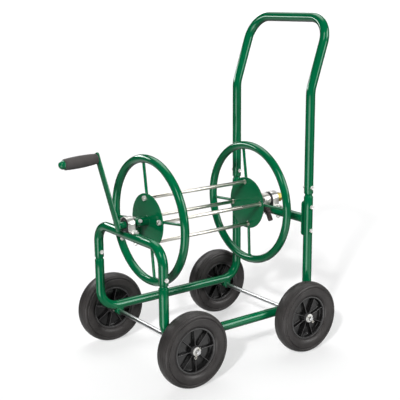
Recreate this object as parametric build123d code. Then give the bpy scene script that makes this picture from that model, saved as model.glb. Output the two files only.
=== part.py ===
from build123d import *
import os
from math import sin, cos, radians, pi

# Garden hose reel cart, millimetres.
# +Z up, floor at Z = 0, X along the reel's axis (crank end -X, push handle end +X),
# Y across. Origin: on the floor under the middle of the cart's box.
# Left is -Y: the left hand of a person pushing the handle.

# ---------------------------------------------------------------- driving dimensions
MID = 40.9                # X of the middle of the wheelbase

# frame tubes
TUBE_OD = 25.4
TUBE_ID = 20.8
SPIGOT_OD = 20.6          # swaged ends of the side tubes
SPIGOT_ID = 17.2
SIDE_Y = 158.0            # side tubes, left and right of the middle
FRONT_LEG_X = MID - 250.0
REAR_LEG_X = MID + 238.0
BASE_Z = 118.0            # bottom run of the side tubes
BASE_BEND = 55.0
SWAGE_H = 3.0             # height of the cone at each swage
FRONT_SHOULDER_Z = 261.5  # where the front swage starts
FRONT_SPIGOT_TOP_Z = 306.0
REAR_SHOULDER_Z = 428.0
REAR_SPIGOT_TOP_Z = 475.0
HOOP_END_Z = 270.5
HOOP_BAR_Z = 365.5
HOOP_BEND = 50.0
HANDLE_END_Z = 437.5
HANDLE_KNEE_Z = 722.0
HANDLE_KNEE_BEND = 90.0
HANDLE_TOP_X = MID + 303.0
HANDLE_TOP_Z = 912.0
HANDLE_TOP_BEND = 68.0
HOOP_BOLT_Z = 286.0
HANDLE_BOLT_Z = 455.0
CROSSBAR_BOLT_Z = (333.0, 400.0)

# rear crossbar
CROSSBAR_Z = 363.0
PLATE_T = 3.0
PLATE_W = 24.0
PLATE_H = 99.0
PLATE_Z = 365.0

# wheels and axles
WHEEL_R = 100.0
WHEEL_W = 45.0
WHEEL_Y = 201.0
AXLE_X = (MID - 193.4, MID + 193.4)
AXLE_D = 12.0
AXLE_END_Y = 228.5
RIM_R = 62.0
RIM_WELL_R = 56.5
HUB_R = 14.0
HUB_HALF = 17.0
RIB_N = 8
RIB_ANGLE = {"front_left": 2.1, "rear_left": 19.8, "front_right": 31.0, "rear_right": 11.0}   # from +X towards +Z
RIB_T = 2.2
WASHER_OD = 23.0
WASHER_T = 2.0
PIN_Y = 222.7
STRAP_Y = 22.0            # width of the axle blocks along the axle

# reel
AXIS_Z = 395.0
REEL_TURN = 7.0           # degrees, top spoke leaning to +Y
RING_R = 165.0
RING_TUBE_D = 22.0
RING_TUBE_ID = 19.6
RING_X = (MID - 187.5, MID + 152.6)
SPOKE_X = (MID - 185.5, MID + 152.6)
SPOKE_D = 8.0
SPOKE_TURN = ((8.0, 97.0, 187.0, 277.0), (8.0, 94.0, 182.5, 273.5))   # front, rear; degrees from straight up to +Y
SPOKE_IN_R = 69.0
DISC_R = 73.5
DISC_T = 2.5
DISC_X = (MID - 192.0, MID + 146.1)   # faces towards -X
ROD_R = 60.5
ROD_D = 10.0
ROD_END_D = 8.0
HUB_OD = 25.0
HUB_ID = 19.2
HUB_LEN = 40.0
SHAFT_OD = 19.0
SHAFT_ID = 15.0

# saddle bearings
BUSH_R = 19.3
BUSH_BORE_R = 9.58        # 0.08 mm round the shaft
CLAMP_W = 21.0
CLAMP_T = 2.1
CLAMP_BOLT_Y = 33.0
CLAMP_END_Y = 41.0
FRONT_BUSH_X = (MID - 261.5, MID - 243.0)
REAR_BUSH_X = (MID + 225.0, MID + 249.5)
CLAMP_SHIFT = (-2.5, 2.0)  # straps sit a little outside the middle of their bars

# crank
ARM_X = (MID - 286.0, MID - 281.0)
ARM_W = 20.0
ARM_ANGLE = 28.5          # degrees from straight up, leaning to +Y
ARM_R = 187.0             # axis of the grip
ARM_TIP = 16.0
ARM_TAIL = 15.0
SPINDLE_D = 16.0
GRIP_R = (13.6, 16.2, 14.6)   # sleeve at the arm, in the middle, at the outer end
GRIP_TILT = 3.1           # degrees, outer end of the spindle down
GRIP_S = (1.3, 96.2)      # sleeve, measured along the spindle from the arm
CAP_TIP_X = MID - 397.5
CAP_R = 11.6

# water way
BODY_X = (MID + 199.0, MID + 223.5)
BODY_R = 19.0
OUTLET_X = MID + 210.5
OUTLET_ANGLE = 30.0       # degrees from straight down, leaning to -Y
SPIGOT2_D = 14.0
INLET_X = (MID + 255.0, MID + 273.0, MID + 290.0)   # hex start, thread start, end
INLET_AF = 24.0
INLET_THREAD_R = 10.45
NIPPLE_R = 7.5
NIPPLE_END = 65.0

BOLT_D = 6.0
HOLE_R = 3.2
MIN3 = (Align.CENTER, Align.CENTER, Align.MIN)


# ---------------------------------------------------------------- helpers
def cyl(p, q, r):
    p, q = Vector(*p), Vector(*q)
    d = q - p
    return Plane(origin=p, z_dir=d) * Cylinder(r, d.length, align=MIN3)


def ring(p, q, ro, ri):
    p, q = Vector(*p), Vector(*q)
    u = (q - p).normalized()
    return cyl(p, q, ro) - cyl(p - u, q + u, ri)


def box(lo, hi):
    lo, hi = Vector(*lo), Vector(*hi)
    c = (lo + hi) * 0.5
    s = hi - lo
    return Pos(c.X, c.Y, c.Z) * Box(s.X, s.Y, s.Z)


def hexa(p, d, af, h):
    """Hexagon standing on p along d, its far corners turned off."""
    body = extrude(RegularPolygon(af / 2, 6, major_radius=False), h)
    lathe = Cylinder(af * 0.578, h, align=MIN3)
    lathe = chamfer(lathe.edges().group_by(Axis.Z)[-1], af * 0.07)
    return Plane(origin=Vector(*p), z_dir=Vector(*d)) * (body & lathe)


def shank_of(r, length):
    c = Cylinder(r, length, align=MIN3)
    return chamfer(c.edges().group_by(Axis.Z)[-1], r * 0.2)


def make_bolt(seat, d, length, size=BOLT_D, af=10.0, head=4.0):
    s, d = Vector(*seat), Vector(*d).normalized()
    return hexa(s, d, af, head) + Plane(origin=s, z_dir=d * -1.0) * shank_of(size / 2, length)


def make_nut(seat, d, h=5.0, size=BOLT_D, af=10.0):
    """Nut standing on seat along d."""
    s, d = Vector(*seat), Vector(*d).normalized()
    return hexa(s, d, af, h) - cyl(s - d, s + d * (h + 1.0), size / 2 + 0.03)


def bent(points, radii, r):
    path = FilletPolyline(*points, radius=radii)
    return sweep(Plane(origin=path @ 0, z_dir=path % 0) * Circle(r), path=path)


def around_axis(radius, turn):
    """Y and Z of a point on the reel, turned from straight up towards +Y."""
    return radius * sin(radians(turn)), AXIS_Z + radius * cos(radians(turn))


def group(shapes):
    return Compound(children=[s.solid() if not isinstance(s, Solid) else s for s in shapes])


nodes = {}

# ---------------------------------------------------------------- side tubes
R_OUT, R_IN = TUBE_OD / 2, TUBE_ID / 2
S_OUT, S_IN = SPIGOT_OD / 2, SPIGOT_ID / 2
base_outer = {}
for name, y in (("base_tube_left", -SIDE_Y), ("base_tube_right", SIDE_Y)):
    run = [(FRONT_LEG_X, y, FRONT_SHOULDER_Z), (FRONT_LEG_X, y, BASE_Z),
           (REAR_LEG_X, y, BASE_Z), (REAR_LEG_X, y, REAR_SHOULDER_Z)]
    outer = bent(run, BASE_BEND, R_OUT)
    base_outer[name] = outer
    tube = outer - bent(run, BASE_BEND, R_IN)
    for x, z0, z1 in ((FRONT_LEG_X, FRONT_SHOULDER_Z, FRONT_SPIGOT_TOP_Z),
                      (REAR_LEG_X, REAR_SHOULDER_Z, REAR_SPIGOT_TOP_Z)):
        # swage: a short cone, then the straight spigot
        out = Pos(x, y, z0) * Cone(R_OUT, S_OUT, SWAGE_H, align=MIN3)
        out += cyl((x, y, z0 + SWAGE_H), (x, y, z1), S_OUT)
        inn = Pos(x, y, z0) * Cone(R_IN, S_IN, SWAGE_H, align=MIN3)
        inn += cyl((x, y, z0 + SWAGE_H), (x, y, z1 + 1.0), S_IN)
        tube += out - inn
    for x, z in ((FRONT_LEG_X, HOOP_BOLT_Z), (REAR_LEG_X, HANDLE_BOLT_Z),
                 (REAR_LEG_X, CROSSBAR_BOLT_Z[0]), (REAR_LEG_X, CROSSBAR_BOLT_Z[1])):
        tube -= cyl((x, y - 20, z), (x, y + 20, z), HOLE_R)
    for x in AXLE_X:
        tube -= cyl((x, y - 20, WHEEL_R), (x, y + 20, WHEEL_R), AXLE_D / 2 + 0.25)
    nodes[name] = tube

# ---------------------------------------------------------------- front hoop
run = [(FRONT_LEG_X, -SIDE_Y, HOOP_END_Z), (FRONT_LEG_X, -SIDE_Y, HOOP_BAR_Z),
       (FRONT_LEG_X, SIDE_Y, HOOP_BAR_Z), (FRONT_LEG_X, SIDE_Y, HOOP_END_Z)]
hoop = bent(run, HOOP_BEND, R_OUT) - bent(run, HOOP_BEND, R_IN)
for y in (-SIDE_Y, SIDE_Y):
    hoop -= cyl((FRONT_LEG_X, y - 20, HOOP_BOLT_Z), (FRONT_LEG_X, y + 20, HOOP_BOLT_Z), HOLE_R)
for y in (-CLAMP_BOLT_Y, CLAMP_BOLT_Y):
    hoop -= cyl((FRONT_LEG_X, y, HOOP_BAR_Z - 20), (FRONT_LEG_X, y, HOOP_BAR_Z + 20), HOLE_R)
nodes["front_hoop"] = hoop

# ---------------------------------------------------------------- push handle
run = [(REAR_LEG_X, -SIDE_Y, HANDLE_END_Z), (REAR_LEG_X, -SIDE_Y, HANDLE_KNEE_Z),
       (HANDLE_TOP_X, -SIDE_Y, HANDLE_TOP_Z), (HANDLE_TOP_X, SIDE_Y, HANDLE_TOP_Z),
       (REAR_LEG_X, SIDE_Y, HANDLE_KNEE_Z), (REAR_LEG_X, SIDE_Y, HANDLE_END_Z)]
bends = [HANDLE_KNEE_BEND, HANDLE_TOP_BEND, HANDLE_TOP_BEND, HANDLE_KNEE_BEND]
handle = bent(run, bends, R_OUT) - bent(run, bends, R_IN)
for y in (-SIDE_Y, SIDE_Y):
    handle -= cyl((REAR_LEG_X, y - 20, HANDLE_BOLT_Z), (REAR_LEG_X, y + 20, HANDLE_BOLT_Z), HOLE_R)
nodes["push_handle"] = handle

# ---------------------------------------------------------------- rear crossbar
PLATE_OUT_Y = SIDE_Y - R_OUT
PLATE_IN_Y = PLATE_OUT_Y - PLATE_T
bar = ring((REAR_LEG_X, -PLATE_IN_Y, CROSSBAR_Z), (REAR_LEG_X, PLATE_IN_Y, CROSSBAR_Z), R_OUT, R_IN)
for y in (-CLAMP_BOLT_Y, CLAMP_BOLT_Y):
    bar -= cyl((REAR_LEG_X, y, CROSSBAR_Z - 20), (REAR_LEG_X, y, CROSSBAR_Z + 20), HOLE_R)
nodes["rear_crossbar"] = bar
plates = []
for s in (-1, 1):
    face = Plane(origin=(REAR_LEG_X, s * PLATE_IN_Y, PLATE_Z), x_dir=(1, 0, 0), z_dir=(0, s, 0))
    plate = extrude(face * RectangleRounded(PLATE_W, PLATE_H, 9.0), PLATE_T)
    plate = chamfer(plate.faces().sort_by(Axis.Y)[0 if s > 0 else -1].edges(), 0.6)
    for z in CROSSBAR_BOLT_Z:
        plate -= cyl((REAR_LEG_X, s * PLATE_IN_Y - 9, z), (REAR_LEG_X, s * PLATE_IN_Y + 9, z), HOLE_R)
    plates.append(plate)
nodes["crossbar_end_plates"] = group(plates)

# ---------------------------------------------------------------- axles and their blocks
AXLE_R = AXLE_D / 2
straps, spacers, washers, pins = [], [], [], []
PIN_DIR = {}
for i, x in enumerate(AXLE_X):
    axle = chamfer(Cylinder(AXLE_R, 2 * AXLE_END_Y).edges().filter_by(GeomType.CIRCLE), 1.0)
    axle = Plane(origin=(x, 0, WHEEL_R), z_dir=(0, 1, 0)) * axle
    for s in (-1, 1):
        tube = base_outer["base_tube_left" if s < 0 else "base_tube_right"]
        y0, y1 = s * SIDE_Y - STRAP_Y / 2, s * SIDE_Y + STRAP_Y / 2
        # axle block: round under the axle, flaring up to the tube, cut to its round
        u = cyl((x, y0, WHEEL_R), (x, y1, WHEEL_R), AXLE_R + 3.2)
        side = Polyline((x - 11.5, y0, BASE_Z - 4), (x + 11.5, y0, BASE_Z - 4), (x + 8.9, y0, WHEEL_R - 2), (x - 8.9, y0, WHEEL_R - 2), close=True)
        u += extrude(make_face(side), STRAP_Y, dir=(0, 1, 0))
        u -= tube
        u -= cyl((x, y0 - 1, WHEEL_R), (x, y1 + 1, WHEEL_R), AXLE_R + 0.02)
        legs = sorted(u.solids(), key=lambda q: q.volume)
        straps.append(legs[-1])
        outer_y = s * (SIDE_Y + STRAP_Y / 2)
        hub_in = s * (WHEEL_Y - HUB_HALF - 0.3)
        spacers.append(ring((x, outer_y, WHEEL_R), (x, hub_in, WHEEL_R), 9.0, AXLE_R + 0.1))
        w0 = s * (WHEEL_Y + HUB_HALF + 0.3)
        washers.append(ring((x, w0, WHEEL_R), (x, w0 + s * WASHER_T, WHEEL_R), WASHER_OD / 2, AXLE_R + 0.2))
        # split pin through the axle: eye on one side, spread legs on the other
        turn = {(-1, 0): 205.0, (-1, 1): 138.0, (1, 0): 40.0, (1, 1): 250.0}[(s, i)]
        d = Vector(sin(radians(turn)), 0, cos(radians(turn)))
        c = Vector(x, s * PIN_Y, WHEEL_R)
        side = d.cross(Vector(0, 1, 0))
        wire = 0.85
        eye_c = c + d * 15.0
        pin = Plane(origin=eye_c, x_dir=d, z_dir=(0, 1, 0)) * Torus(3.3, wire)
        for k in (-1, 1):
            a = c + side * (0.87 * k) + d * 11.9
            b = c + side * (0.87 * k) - d * 9.0
            e = b - d * 4.2 + side * (2.6 * k)
            pin += cyl(a, b, wire)
            pin += Pos(b.X, b.Y, b.Z) * Sphere(wire)
            pin += cyl(b, e, wire)
        pins.append(pin)
        axle -= cyl(c - d * 8.0, c + d * 8.0, 1.95)
    nodes["front_axle" if i == 0 else "rear_axle"] = axle
nodes["axle_blocks"] = group(straps)
nodes["axle_spacers"] = group(spacers)
nodes["axle_washers"] = group(washers)
nodes["split_pins"] = group(pins)

# ---------------------------------------------------------------- wheels
# solid rubber tyre: flat sidewall, crease at the shoulder, crowned tread
HW = WHEEL_W / 2
with BuildSketch(Plane.XY) as tyre_sk:
    with BuildLine():
        a = Polyline((RIM_R, 0), (RIM_R, 15.5), (64.0, 17.8), (68.5, 21.0), (74.0, HW - 0.5), (86.8, HW), (87.8, HW - 0.5))
        b = ThreePointArc(a @ 1, (92.6, HW - 1.3), (95.8, HW - 4.1))
        c = ThreePointArc(b @ 1, (98.6, 11.0), (WHEEL_R, 0))
        Line(c @ 1, (RIM_R, 0))
    make_face()
    mirror(about=Plane.XZ)
tyre = revolve(tyre_sk.sketch, axis=Axis.Y)

dish = Plane(origin=(0, -15.0, 0), z_dir=(0, 1, 0)) * Cylinder(RIM_R, 30.0, align=MIN3)
dish -= cyl((0, 2.2, 0), (0, 20, 0), RIM_WELL_R)
dish -= cyl((0, -2.2, 0), (0, -20, 0), RIM_WELL_R)
dish += cyl((0, -HUB_HALF, 0), (0, HUB_HALF, 0), HUB_R)
for k in range(RIB_N):
    rib = box((0, -12.0, -RIB_T / 2), (RIM_WELL_R + 2.0, 12.0, RIB_T / 2))
    dish += Rot(0, -360.0 * k / RIB_N, 0) * rib
dish -= cyl((0, -30, 0), (0, 30, 0), AXLE_R + 0.08)
dish = chamfer(dish.edges().filter_by(GeomType.CIRCLE).filter_by(lambda e: abs(e.radius - RIM_WELL_R) < 0.01 and abs(abs(e.center().Y) - 15.0) < 0.01 and e.length > 300), 1.2)
for sy, sn in ((-1, "left"), (1, "right")):
    for x, fn in zip(AXLE_X, ("front", "rear")):
        place = Pos(x, sy * WHEEL_Y, WHEEL_R)
        nodes[f"tyre_{fn}_{sn}"] = place * tyre
        nodes[f"rim_{fn}_{sn}"] = place * Rot(0, -RIB_ANGLE[f"{fn}_{sn}"], 0) * dish

# ---------------------------------------------------------------- saddle bearings
saddle_bolts, saddle_nuts = [], []
for fn, x, bx, bar_z, dx in (("front", FRONT_LEG_X, FRONT_BUSH_X, HOOP_BAR_Z, CLAMP_SHIFT[0]), ("rear", REAR_LEG_X, REAR_BUSH_X, CROSSBAR_Z, CLAMP_SHIFT[1])):
    top = bar_z + R_OUT                       # top of the bar under the bearing
    m = BUSH_R + 0.1 + CLAMP_T / 2            # middle of the strap's thickness
    fz = top + CLAMP_T / 2
    zt = AXIS_Z + m
    cx = x + dx
    prof = [(cx, -CLAMP_END_Y, fz), (cx, -m, fz), (cx, -m, zt), (cx, m, zt), (cx, m, fz), (cx, CLAMP_END_Y, fz)]
    path = FilletPolyline(*prof, radius=[3.5, m - 0.05, m - 0.05, 3.5])
    strap = sweep(Plane(origin=path @ 0, x_dir=(1, 0, 0), z_dir=path % 0) * Rectangle(CLAMP_W, CLAMP_T), path=path)
    for y in (-CLAMP_BOLT_Y, CLAMP_BOLT_Y):
        strap -= cyl((x, y, top - 5), (x, y, top + 8), HOLE_R)
    nodes[f"{fn}_saddle_clamp"] = strap
    bush = cyl((bx[0], 0, AXIS_Z), (bx[1], 0, AXIS_Z), BUSH_R)
    bush = chamfer(bush.edges().filter_by(GeomType.CIRCLE), 1.2)
    bush += box((bx[0] + 2.0, -12.0, top - 2.5), (bx[1] - 2.0, 12.0, AXIS_Z - 10.0))
    bush -= cyl((x, -60, bar_z), (x, 60, bar_z), R_OUT + 0.02)
    bush -= cyl((bx[0] - 1, 0, AXIS_Z), (bx[1] + 1, 0, AXIS_Z), BUSH_BORE_R)
    nodes[f"{fn}_bearing_bush"] = bush
    for y in (-CLAMP_BOLT_Y, CLAMP_BOLT_Y):
        saddle_bolts.append(make_bolt((x, y, top + CLAMP_T), (0, 0, 1), CLAMP_T + TUBE_OD + 5.0 + 3.0))
        saddle_nuts.append(make_nut((x, y, bar_z - R_OUT), (0, 0, -1)))
nodes["saddle_bolts"] = group(saddle_bolts)
nodes["saddle_nuts"] = group(saddle_nuts)

# ---------------------------------------------------------------- frame bolts
for key, x, z in (("hoop", FRONT_LEG_X, HOOP_BOLT_Z), ("handle", REAR_LEG_X, HANDLE_BOLT_Z)):
    bolts, nuts = [], []
    for y in (-SIDE_Y, SIDE_Y):
        bolts.append(make_bolt((x, y - R_OUT, z), (0, -1, 0), TUBE_OD + 5.0 + 3.0))
        nuts.append(make_nut((x, y + R_OUT, z), (0, 1, 0)))
    nodes[f"{key}_bolts"] = group(bolts)
    nodes[f"{key}_nuts"] = group(nuts)
bolts, nuts = [], []
for s in (-1, 1):
    for z in CROSSBAR_BOLT_Z:
        bolts.append(make_bolt((REAR_LEG_X, s * (SIDE_Y + R_OUT), z), (0, s, 0), TUBE_OD + PLATE_T + 5.0 + 3.0))
        nuts.append(make_nut((REAR_LEG_X, s * PLATE_IN_Y, z), (0, -s, 0)))
nodes["crossbar_bolts"] = group(bolts)
nodes["crossbar_nuts"] = group(nuts)

# ---------------------------------------------------------------- reel
rods, rod_washers, rod_nuts = [], [], {0: [], 1: []}
hub_bolts, hub_nuts = [], []
turns = [REEL_TURN + 90.0 * k for k in range(4)]
for i, fn in enumerate(("front", "rear")):
    rx, sx, dx = RING_X[i], SPOKE_X[i], DISC_X[i]
    hoop_ring = Pos(rx, 0, AXIS_Z) * Rot(0, 90, 0) * Torus(RING_R, RING_TUBE_D / 2)
    hollow = Pos(rx, 0, AXIS_Z) * Rot(0, 90, 0) * Torus(RING_R, RING_TUBE_ID / 2)
    vy, vz = around_axis(RING_R, REEL_TURN + 45.0)
    iy, iz = around_axis(RING_R - RING_TUBE_D, REEL_TURN + 45.0)
    nodes[f"reel_ring_{fn}"] = hoop_ring - hollow - cyl((rx, vy, vz), (rx, iy, iz), 2.0)
    spokes = []
    for t in SPOKE_TURN[i]:
        y0, z0 = around_axis(SPOKE_IN_R, t)
        y1, z1 = around_axis(RING_R - 4.0, t)
        # outer end cut to the ring tube's round
        cy, cz = around_axis(RING_R, t)
        ty, tz = 12.0 * cos(radians(t)), -12.0 * sin(radians(t))
        spokes.append(cyl((sx, y0, z0), (sx, y1, z1), SPOKE_D / 2)
                      - cyl((rx, cy - ty, cz - tz), (rx, cy + ty, cz + tz), RING_TUBE_D / 2 + 0.07))
    nodes[f"spokes_{fn}"] = group([s.solids().sort_by(SortBy.VOLUME)[-1] for s in spokes])
    disc = cyl((dx, 0, AXIS_Z), (dx + DISC_T, 0, AXIS_Z), DISC_R)
    disc = fillet(disc.edges().filter_by(GeomType.CIRCLE), 0.7)
    for t in turns:
        y, z = around_axis(ROD_R, t)
        disc -= cyl((dx - 1, y, z), (dx + DISC_T + 1, y, z), ROD_END_D / 2 + 0.15)
    if i == 0:                            # the crank shaft comes through the front disc
        disc -= cyl((dx - 1, 0, AXIS_Z), (dx + DISC_T + 1, 0, AXIS_Z), HUB_ID / 2)
    nodes[f"disc_{fn}"] = disc
    # hub sleeve, welded on the outer face, with a cross bolt through it and the shaft
    h0, h1 = (dx - HUB_LEN, dx) if i == 0 else (dx + DISC_T, dx + DISC_T + HUB_LEN)
    bx = MID - 221.5 if i == 0 else h1 - 10.5
    sleeve = ring((h0, 0, AXIS_Z), (h1, 0, AXIS_Z), HUB_OD / 2, HUB_ID / 2)
    q = radians(ARM_ANGLE) if i == 0 else 0.0
    hy, hz = -cos(q), sin(q)              # way the bolt head faces
    sleeve -= cyl((bx, -30 * hy, AXIS_Z - 30 * hz), (bx, 30 * hy, AXIS_Z + 30 * hz), HOLE_R)
    nodes[f"hub_sleeve_{fn}"] = sleeve
    hr = HUB_OD / 2
    hub_bolts.append(make_bolt((bx, hr * hy, AXIS_Z + hr * hz), (0, hy, hz), HUB_OD + 8.0))
    hub_nuts.append(make_nut((bx, -hr * hy, AXIS_Z - hr * hz), (0, -hy, -hz)))
    for t in turns:
        y, z = around_axis(ROD_R, t)
        if i == 0:
            rod_washers.append(ring((dx + DISC_T, y, z), (dx + DISC_T + 1.6, y, z), 7.0, ROD_END_D / 2 + 0.15))
            rod_nuts[0].append(make_nut((dx, y, z), (-1, 0, 0), 6.5, ROD_END_D, 13.0))
        else:
            rod_washers.append(ring((dx, y, z), (dx - 1.6, y, z), 7.0, ROD_END_D / 2 + 0.15))
            rod_nuts[1].append(make_nut((dx + DISC_T, y, z), (1, 0, 0), 6.5, ROD_END_D, 13.0))
for t in turns:
    y, z = around_axis(ROD_R, t)
    a, b = DISC_X[0] + DISC_T + 1.6, DISC_X[1] - 1.6
    rod = cyl((a, y, z), (b, y, z), ROD_D / 2)
    rod += cyl((DISC_X[0] - 8.0, y, z), (a, y, z), ROD_END_D / 2)
    rod += cyl((b, y, z), (DISC_X[1] + DISC_T + 8.0, y, z), ROD_END_D / 2)
    rods.append(rod)
nodes["tie_rods"] = group(rods)
nodes["tie_rod_washers"] = group(rod_washers)
nodes["tie_rod_nuts_front"] = group(rod_nuts[0])
nodes["tie_rod_nuts_rear"] = group(rod_nuts[1])
nodes["hub_bolts"] = group(hub_bolts)
nodes["hub_nuts"] = group(hub_nuts)

# ---------------------------------------------------------------- crank
shaft = ring((ARM_X[1], 0, AXIS_Z), (DISC_X[0] + DISC_T, 0, AXIS_Z), SHAFT_OD / 2, SHAFT_ID / 2)
hy, hz = -cos(radians(ARM_ANGLE)), sin(radians(ARM_ANGLE))
shaft -= cyl((MID - 221.5, -30 * hy, AXIS_Z - 30 * hz), (MID - 221.5, 30 * hy, AXIS_Z + 30 * hz), HOLE_R)
nodes["crank_shaft"] = shaft
arm_len = ARM_R + ARM_TIP + ARM_TAIL
arm_mid = (ARM_R + ARM_TIP - ARM_TAIL) / 2
arm = extrude(Rectangle(ARM_W, arm_len), ARM_X[1] - ARM_X[0])
arm = fillet(arm.edges().filter_by(Axis.Z), 6.5)
arm = chamfer(arm.edges().group_by(Axis.Z)[0] + arm.edges().group_by(Axis.Z)[-1], 0.6)
ey, ez = sin(radians(ARM_ANGLE)), cos(radians(ARM_ANGLE))
arm_plane = Plane(origin=(ARM_X[0], arm_mid * ey, AXIS_Z + arm_mid * ez), x_dir=(0, ez, -ey), z_dir=(1, 0, 0))
nodes["crank_arm"] = arm_plane * arm
gy, gz = around_axis(ARM_R, ARM_ANGLE)
tilt = radians(GRIP_TILT)


def on_spindle(q):
    """Point on the spindle's axis, q from the arm's outer face."""
    return (ARM_X[0] - q * cos(tilt), gy, gz - q * sin(tilt))


cap_q = GRIP_S[1] + 0.6
spindle = ring(on_spindle(-3.0), on_spindle(cap_q), SPINDLE_D / 2, SPINDLE_D / 2 - 2.0)
nodes["grip_spindle"] = spindle - box((ARM_X[0], gy - 30, gz - 30), (ARM_X[0] + 30, gy + 30, gz + 30))
# domed end of the spindle, wide enough to hold the sleeve on
tip_q = (ARM_X[0] - CAP_TIP_X - CAP_R) / cos(tilt) + CAP_R
dome = tip_q - cap_q - CAP_R              # straight part before the half ball
with BuildSketch(Plane.XY) as cap_sk:
    with BuildLine():
        p0 = Polyline((0, 0), (CAP_R + 0.8, 0), (CAP_R + 0.8, 1.4), (CAP_R, 2.0), (CAP_R, dome))
        p1 = ThreePointArc(p0 @ 1, (CAP_R * sin(pi / 4), dome + CAP_R * cos(pi / 4)), (0, dome + CAP_R))
        Line(p1 @ 1, (0, 0))
    make_face()
cap = revolve(cap_sk.sketch, axis=Axis.Y)
nodes["spindle_cap"] = Plane(origin=on_spindle(cap_q), x_dir=(0, 1, 0), z_dir=(-sin(tilt), 0, cos(tilt))) * cap
g0, g1 = GRIP_S
bore = SPINDLE_D / 2 + 0.08
with BuildSketch(Plane.XZ) as grip_sk:
    with BuildLine():
        e0 = Polyline((bore, g0), (GRIP_R[0] - 1.4, g0), (GRIP_R[0], g0 + 1.4))
        e1 = ThreePointArc(e0 @ 1, (GRIP_R[1], (g0 + g1) / 2), (GRIP_R[2], g1 - 1.4))
        Polyline(e1 @ 1, (GRIP_R[2] - 1.4, g1), (bore, g1), (bore, g0))
    make_face()
sleeve = revolve(grip_sk.sketch, axis=Axis.Z)
nodes["grip_sleeve"] = Plane(origin=on_spindle(0), x_dir=(0, 1, 0), z_dir=(-cos(tilt), 0, -sin(tilt))) * sleeve

# ---------------------------------------------------------------- water way
ox = OUTLET_X
oy, oz = -sin(radians(OUTLET_ANGLE)), -cos(radians(OUTLET_ANGLE))


def out_pt(r):
    return (ox, r * oy, AXIS_Z + r * oz)


body = cyl((BODY_X[0], 0, AXIS_Z), (BODY_X[1], 0, AXIS_Z), BODY_R)
body = chamfer(body.edges().filter_by(GeomType.CIRCLE), 1.6)
water = cyl((DISC_X[1] + DISC_T, 0, AXIS_Z), (INLET_X[0] - 0.6, 0, AXIS_Z), SHAFT_OD / 2) + body
water += cyl((INLET_X[0] - 0.6, 0, AXIS_Z), (INLET_X[1] - 4.0, 0, AXIS_Z), SPIGOT2_D / 2)
water += cyl(out_pt(0), out_pt(22.0), 7.0)
water -= cyl((ox, 0, AXIS_Z), (INLET_X[1], 0, AXIS_Z), 4.5)
water -= cyl(out_pt(0), out_pt(40.0), 4.5)
hb = DISC_X[1] + DISC_T + HUB_LEN - 10.5
water -= cyl((hb, -30, AXIS_Z), (hb, 30, AXIS_Z), HOLE_R)
SEAL_X = (INLET_X[0] + 6.0, INLET_X[0] + 8.0)
seal = ring((SEAL_X[0], 0, AXIS_Z), (SEAL_X[1], 0, AXIS_Z), SPIGOT2_D / 2, SPIGOT2_D / 2 - 1.4)
nodes["inlet_seal"] = seal
nodes["water_axle"] = water - seal
union = hexa(out_pt(22.0), (0, oy, oz), 19.0, 15.0) + cyl(out_pt(37.0), out_pt(40.0), 8.6)
union -= cyl(out_pt(15.0), out_pt(50.0), 4.5)
nodes["outlet_union"] = union
nip = cyl(out_pt(40.0), out_pt(43.0), 9.6) + cyl(out_pt(43.0), out_pt(NIPPLE_END), NIPPLE_R)
nip = chamfer(nip.edges().filter_by(GeomType.CIRCLE).filter_by(lambda e: abs(e.radius - NIPPLE_R) < 0.01).sort_by(Axis((0, 0, 0), (0, oy, oz)))[-1], 1.2)
nip -= cyl(out_pt(30.0), out_pt(NIPPLE_END + 5.0), 4.5)
nodes["outlet_nipple"] = nip

inlet = Plane(origin=(INLET_X[0], 0, AXIS_Z), x_dir=(0, 0, 1), z_dir=(1, 0, 0)) * extrude(RegularPolygon(INLET_AF / 2, 6, major_radius=False, rotation=30), INLET_X[1] - INLET_X[0])
lathe = cyl((INLET_X[0], 0, AXIS_Z), (INLET_X[1], 0, AXIS_Z), INLET_AF * 0.578)
inlet = inlet & chamfer(lathe.edges().filter_by(GeomType.CIRCLE), 1.5)
inlet += cyl((INLET_X[1], 0, AXIS_Z), (INLET_X[2], 0, AXIS_Z), INLET_THREAD_R)
inlet -= cyl((INLET_X[0] - 1, 0, AXIS_Z), (INLET_X[1] - 3.4, 0, AXIS_Z), SPIGOT2_D / 2 + 0.08)
inlet -= cyl((INLET_X[0] - 1, 0, AXIS_Z), (INLET_X[2] + 1, 0, AXIS_Z), 5.5)
nodes["inlet_swivel"] = inlet

# ---------------------------------------------------------------- write the pieces
os.makedirs("parts", exist_ok=True)
for name, shape in nodes.items():
    export_step(shape, f"parts/{name}.step")
print(len(nodes), "pieces")
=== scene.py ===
from math import sin, cos, tan, asin, atan2, pi, radians, sqrt, floor

import bmesh
import bpy
import numpy as np
from mathutils import Matrix, Vector


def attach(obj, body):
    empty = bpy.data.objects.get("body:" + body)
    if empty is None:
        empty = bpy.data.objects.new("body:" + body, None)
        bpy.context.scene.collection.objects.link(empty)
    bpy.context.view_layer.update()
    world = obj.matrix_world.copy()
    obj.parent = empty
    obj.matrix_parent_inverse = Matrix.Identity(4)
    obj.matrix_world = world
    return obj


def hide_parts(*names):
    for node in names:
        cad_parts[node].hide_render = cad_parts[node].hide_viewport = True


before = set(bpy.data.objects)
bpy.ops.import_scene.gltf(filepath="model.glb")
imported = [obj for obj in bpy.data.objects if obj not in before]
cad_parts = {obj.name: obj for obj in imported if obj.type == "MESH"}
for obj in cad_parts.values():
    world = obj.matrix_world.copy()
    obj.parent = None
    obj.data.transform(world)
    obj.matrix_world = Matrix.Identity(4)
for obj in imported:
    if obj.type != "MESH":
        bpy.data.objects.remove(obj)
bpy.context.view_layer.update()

scene = bpy.context.scene
MM = 0.001

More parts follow.
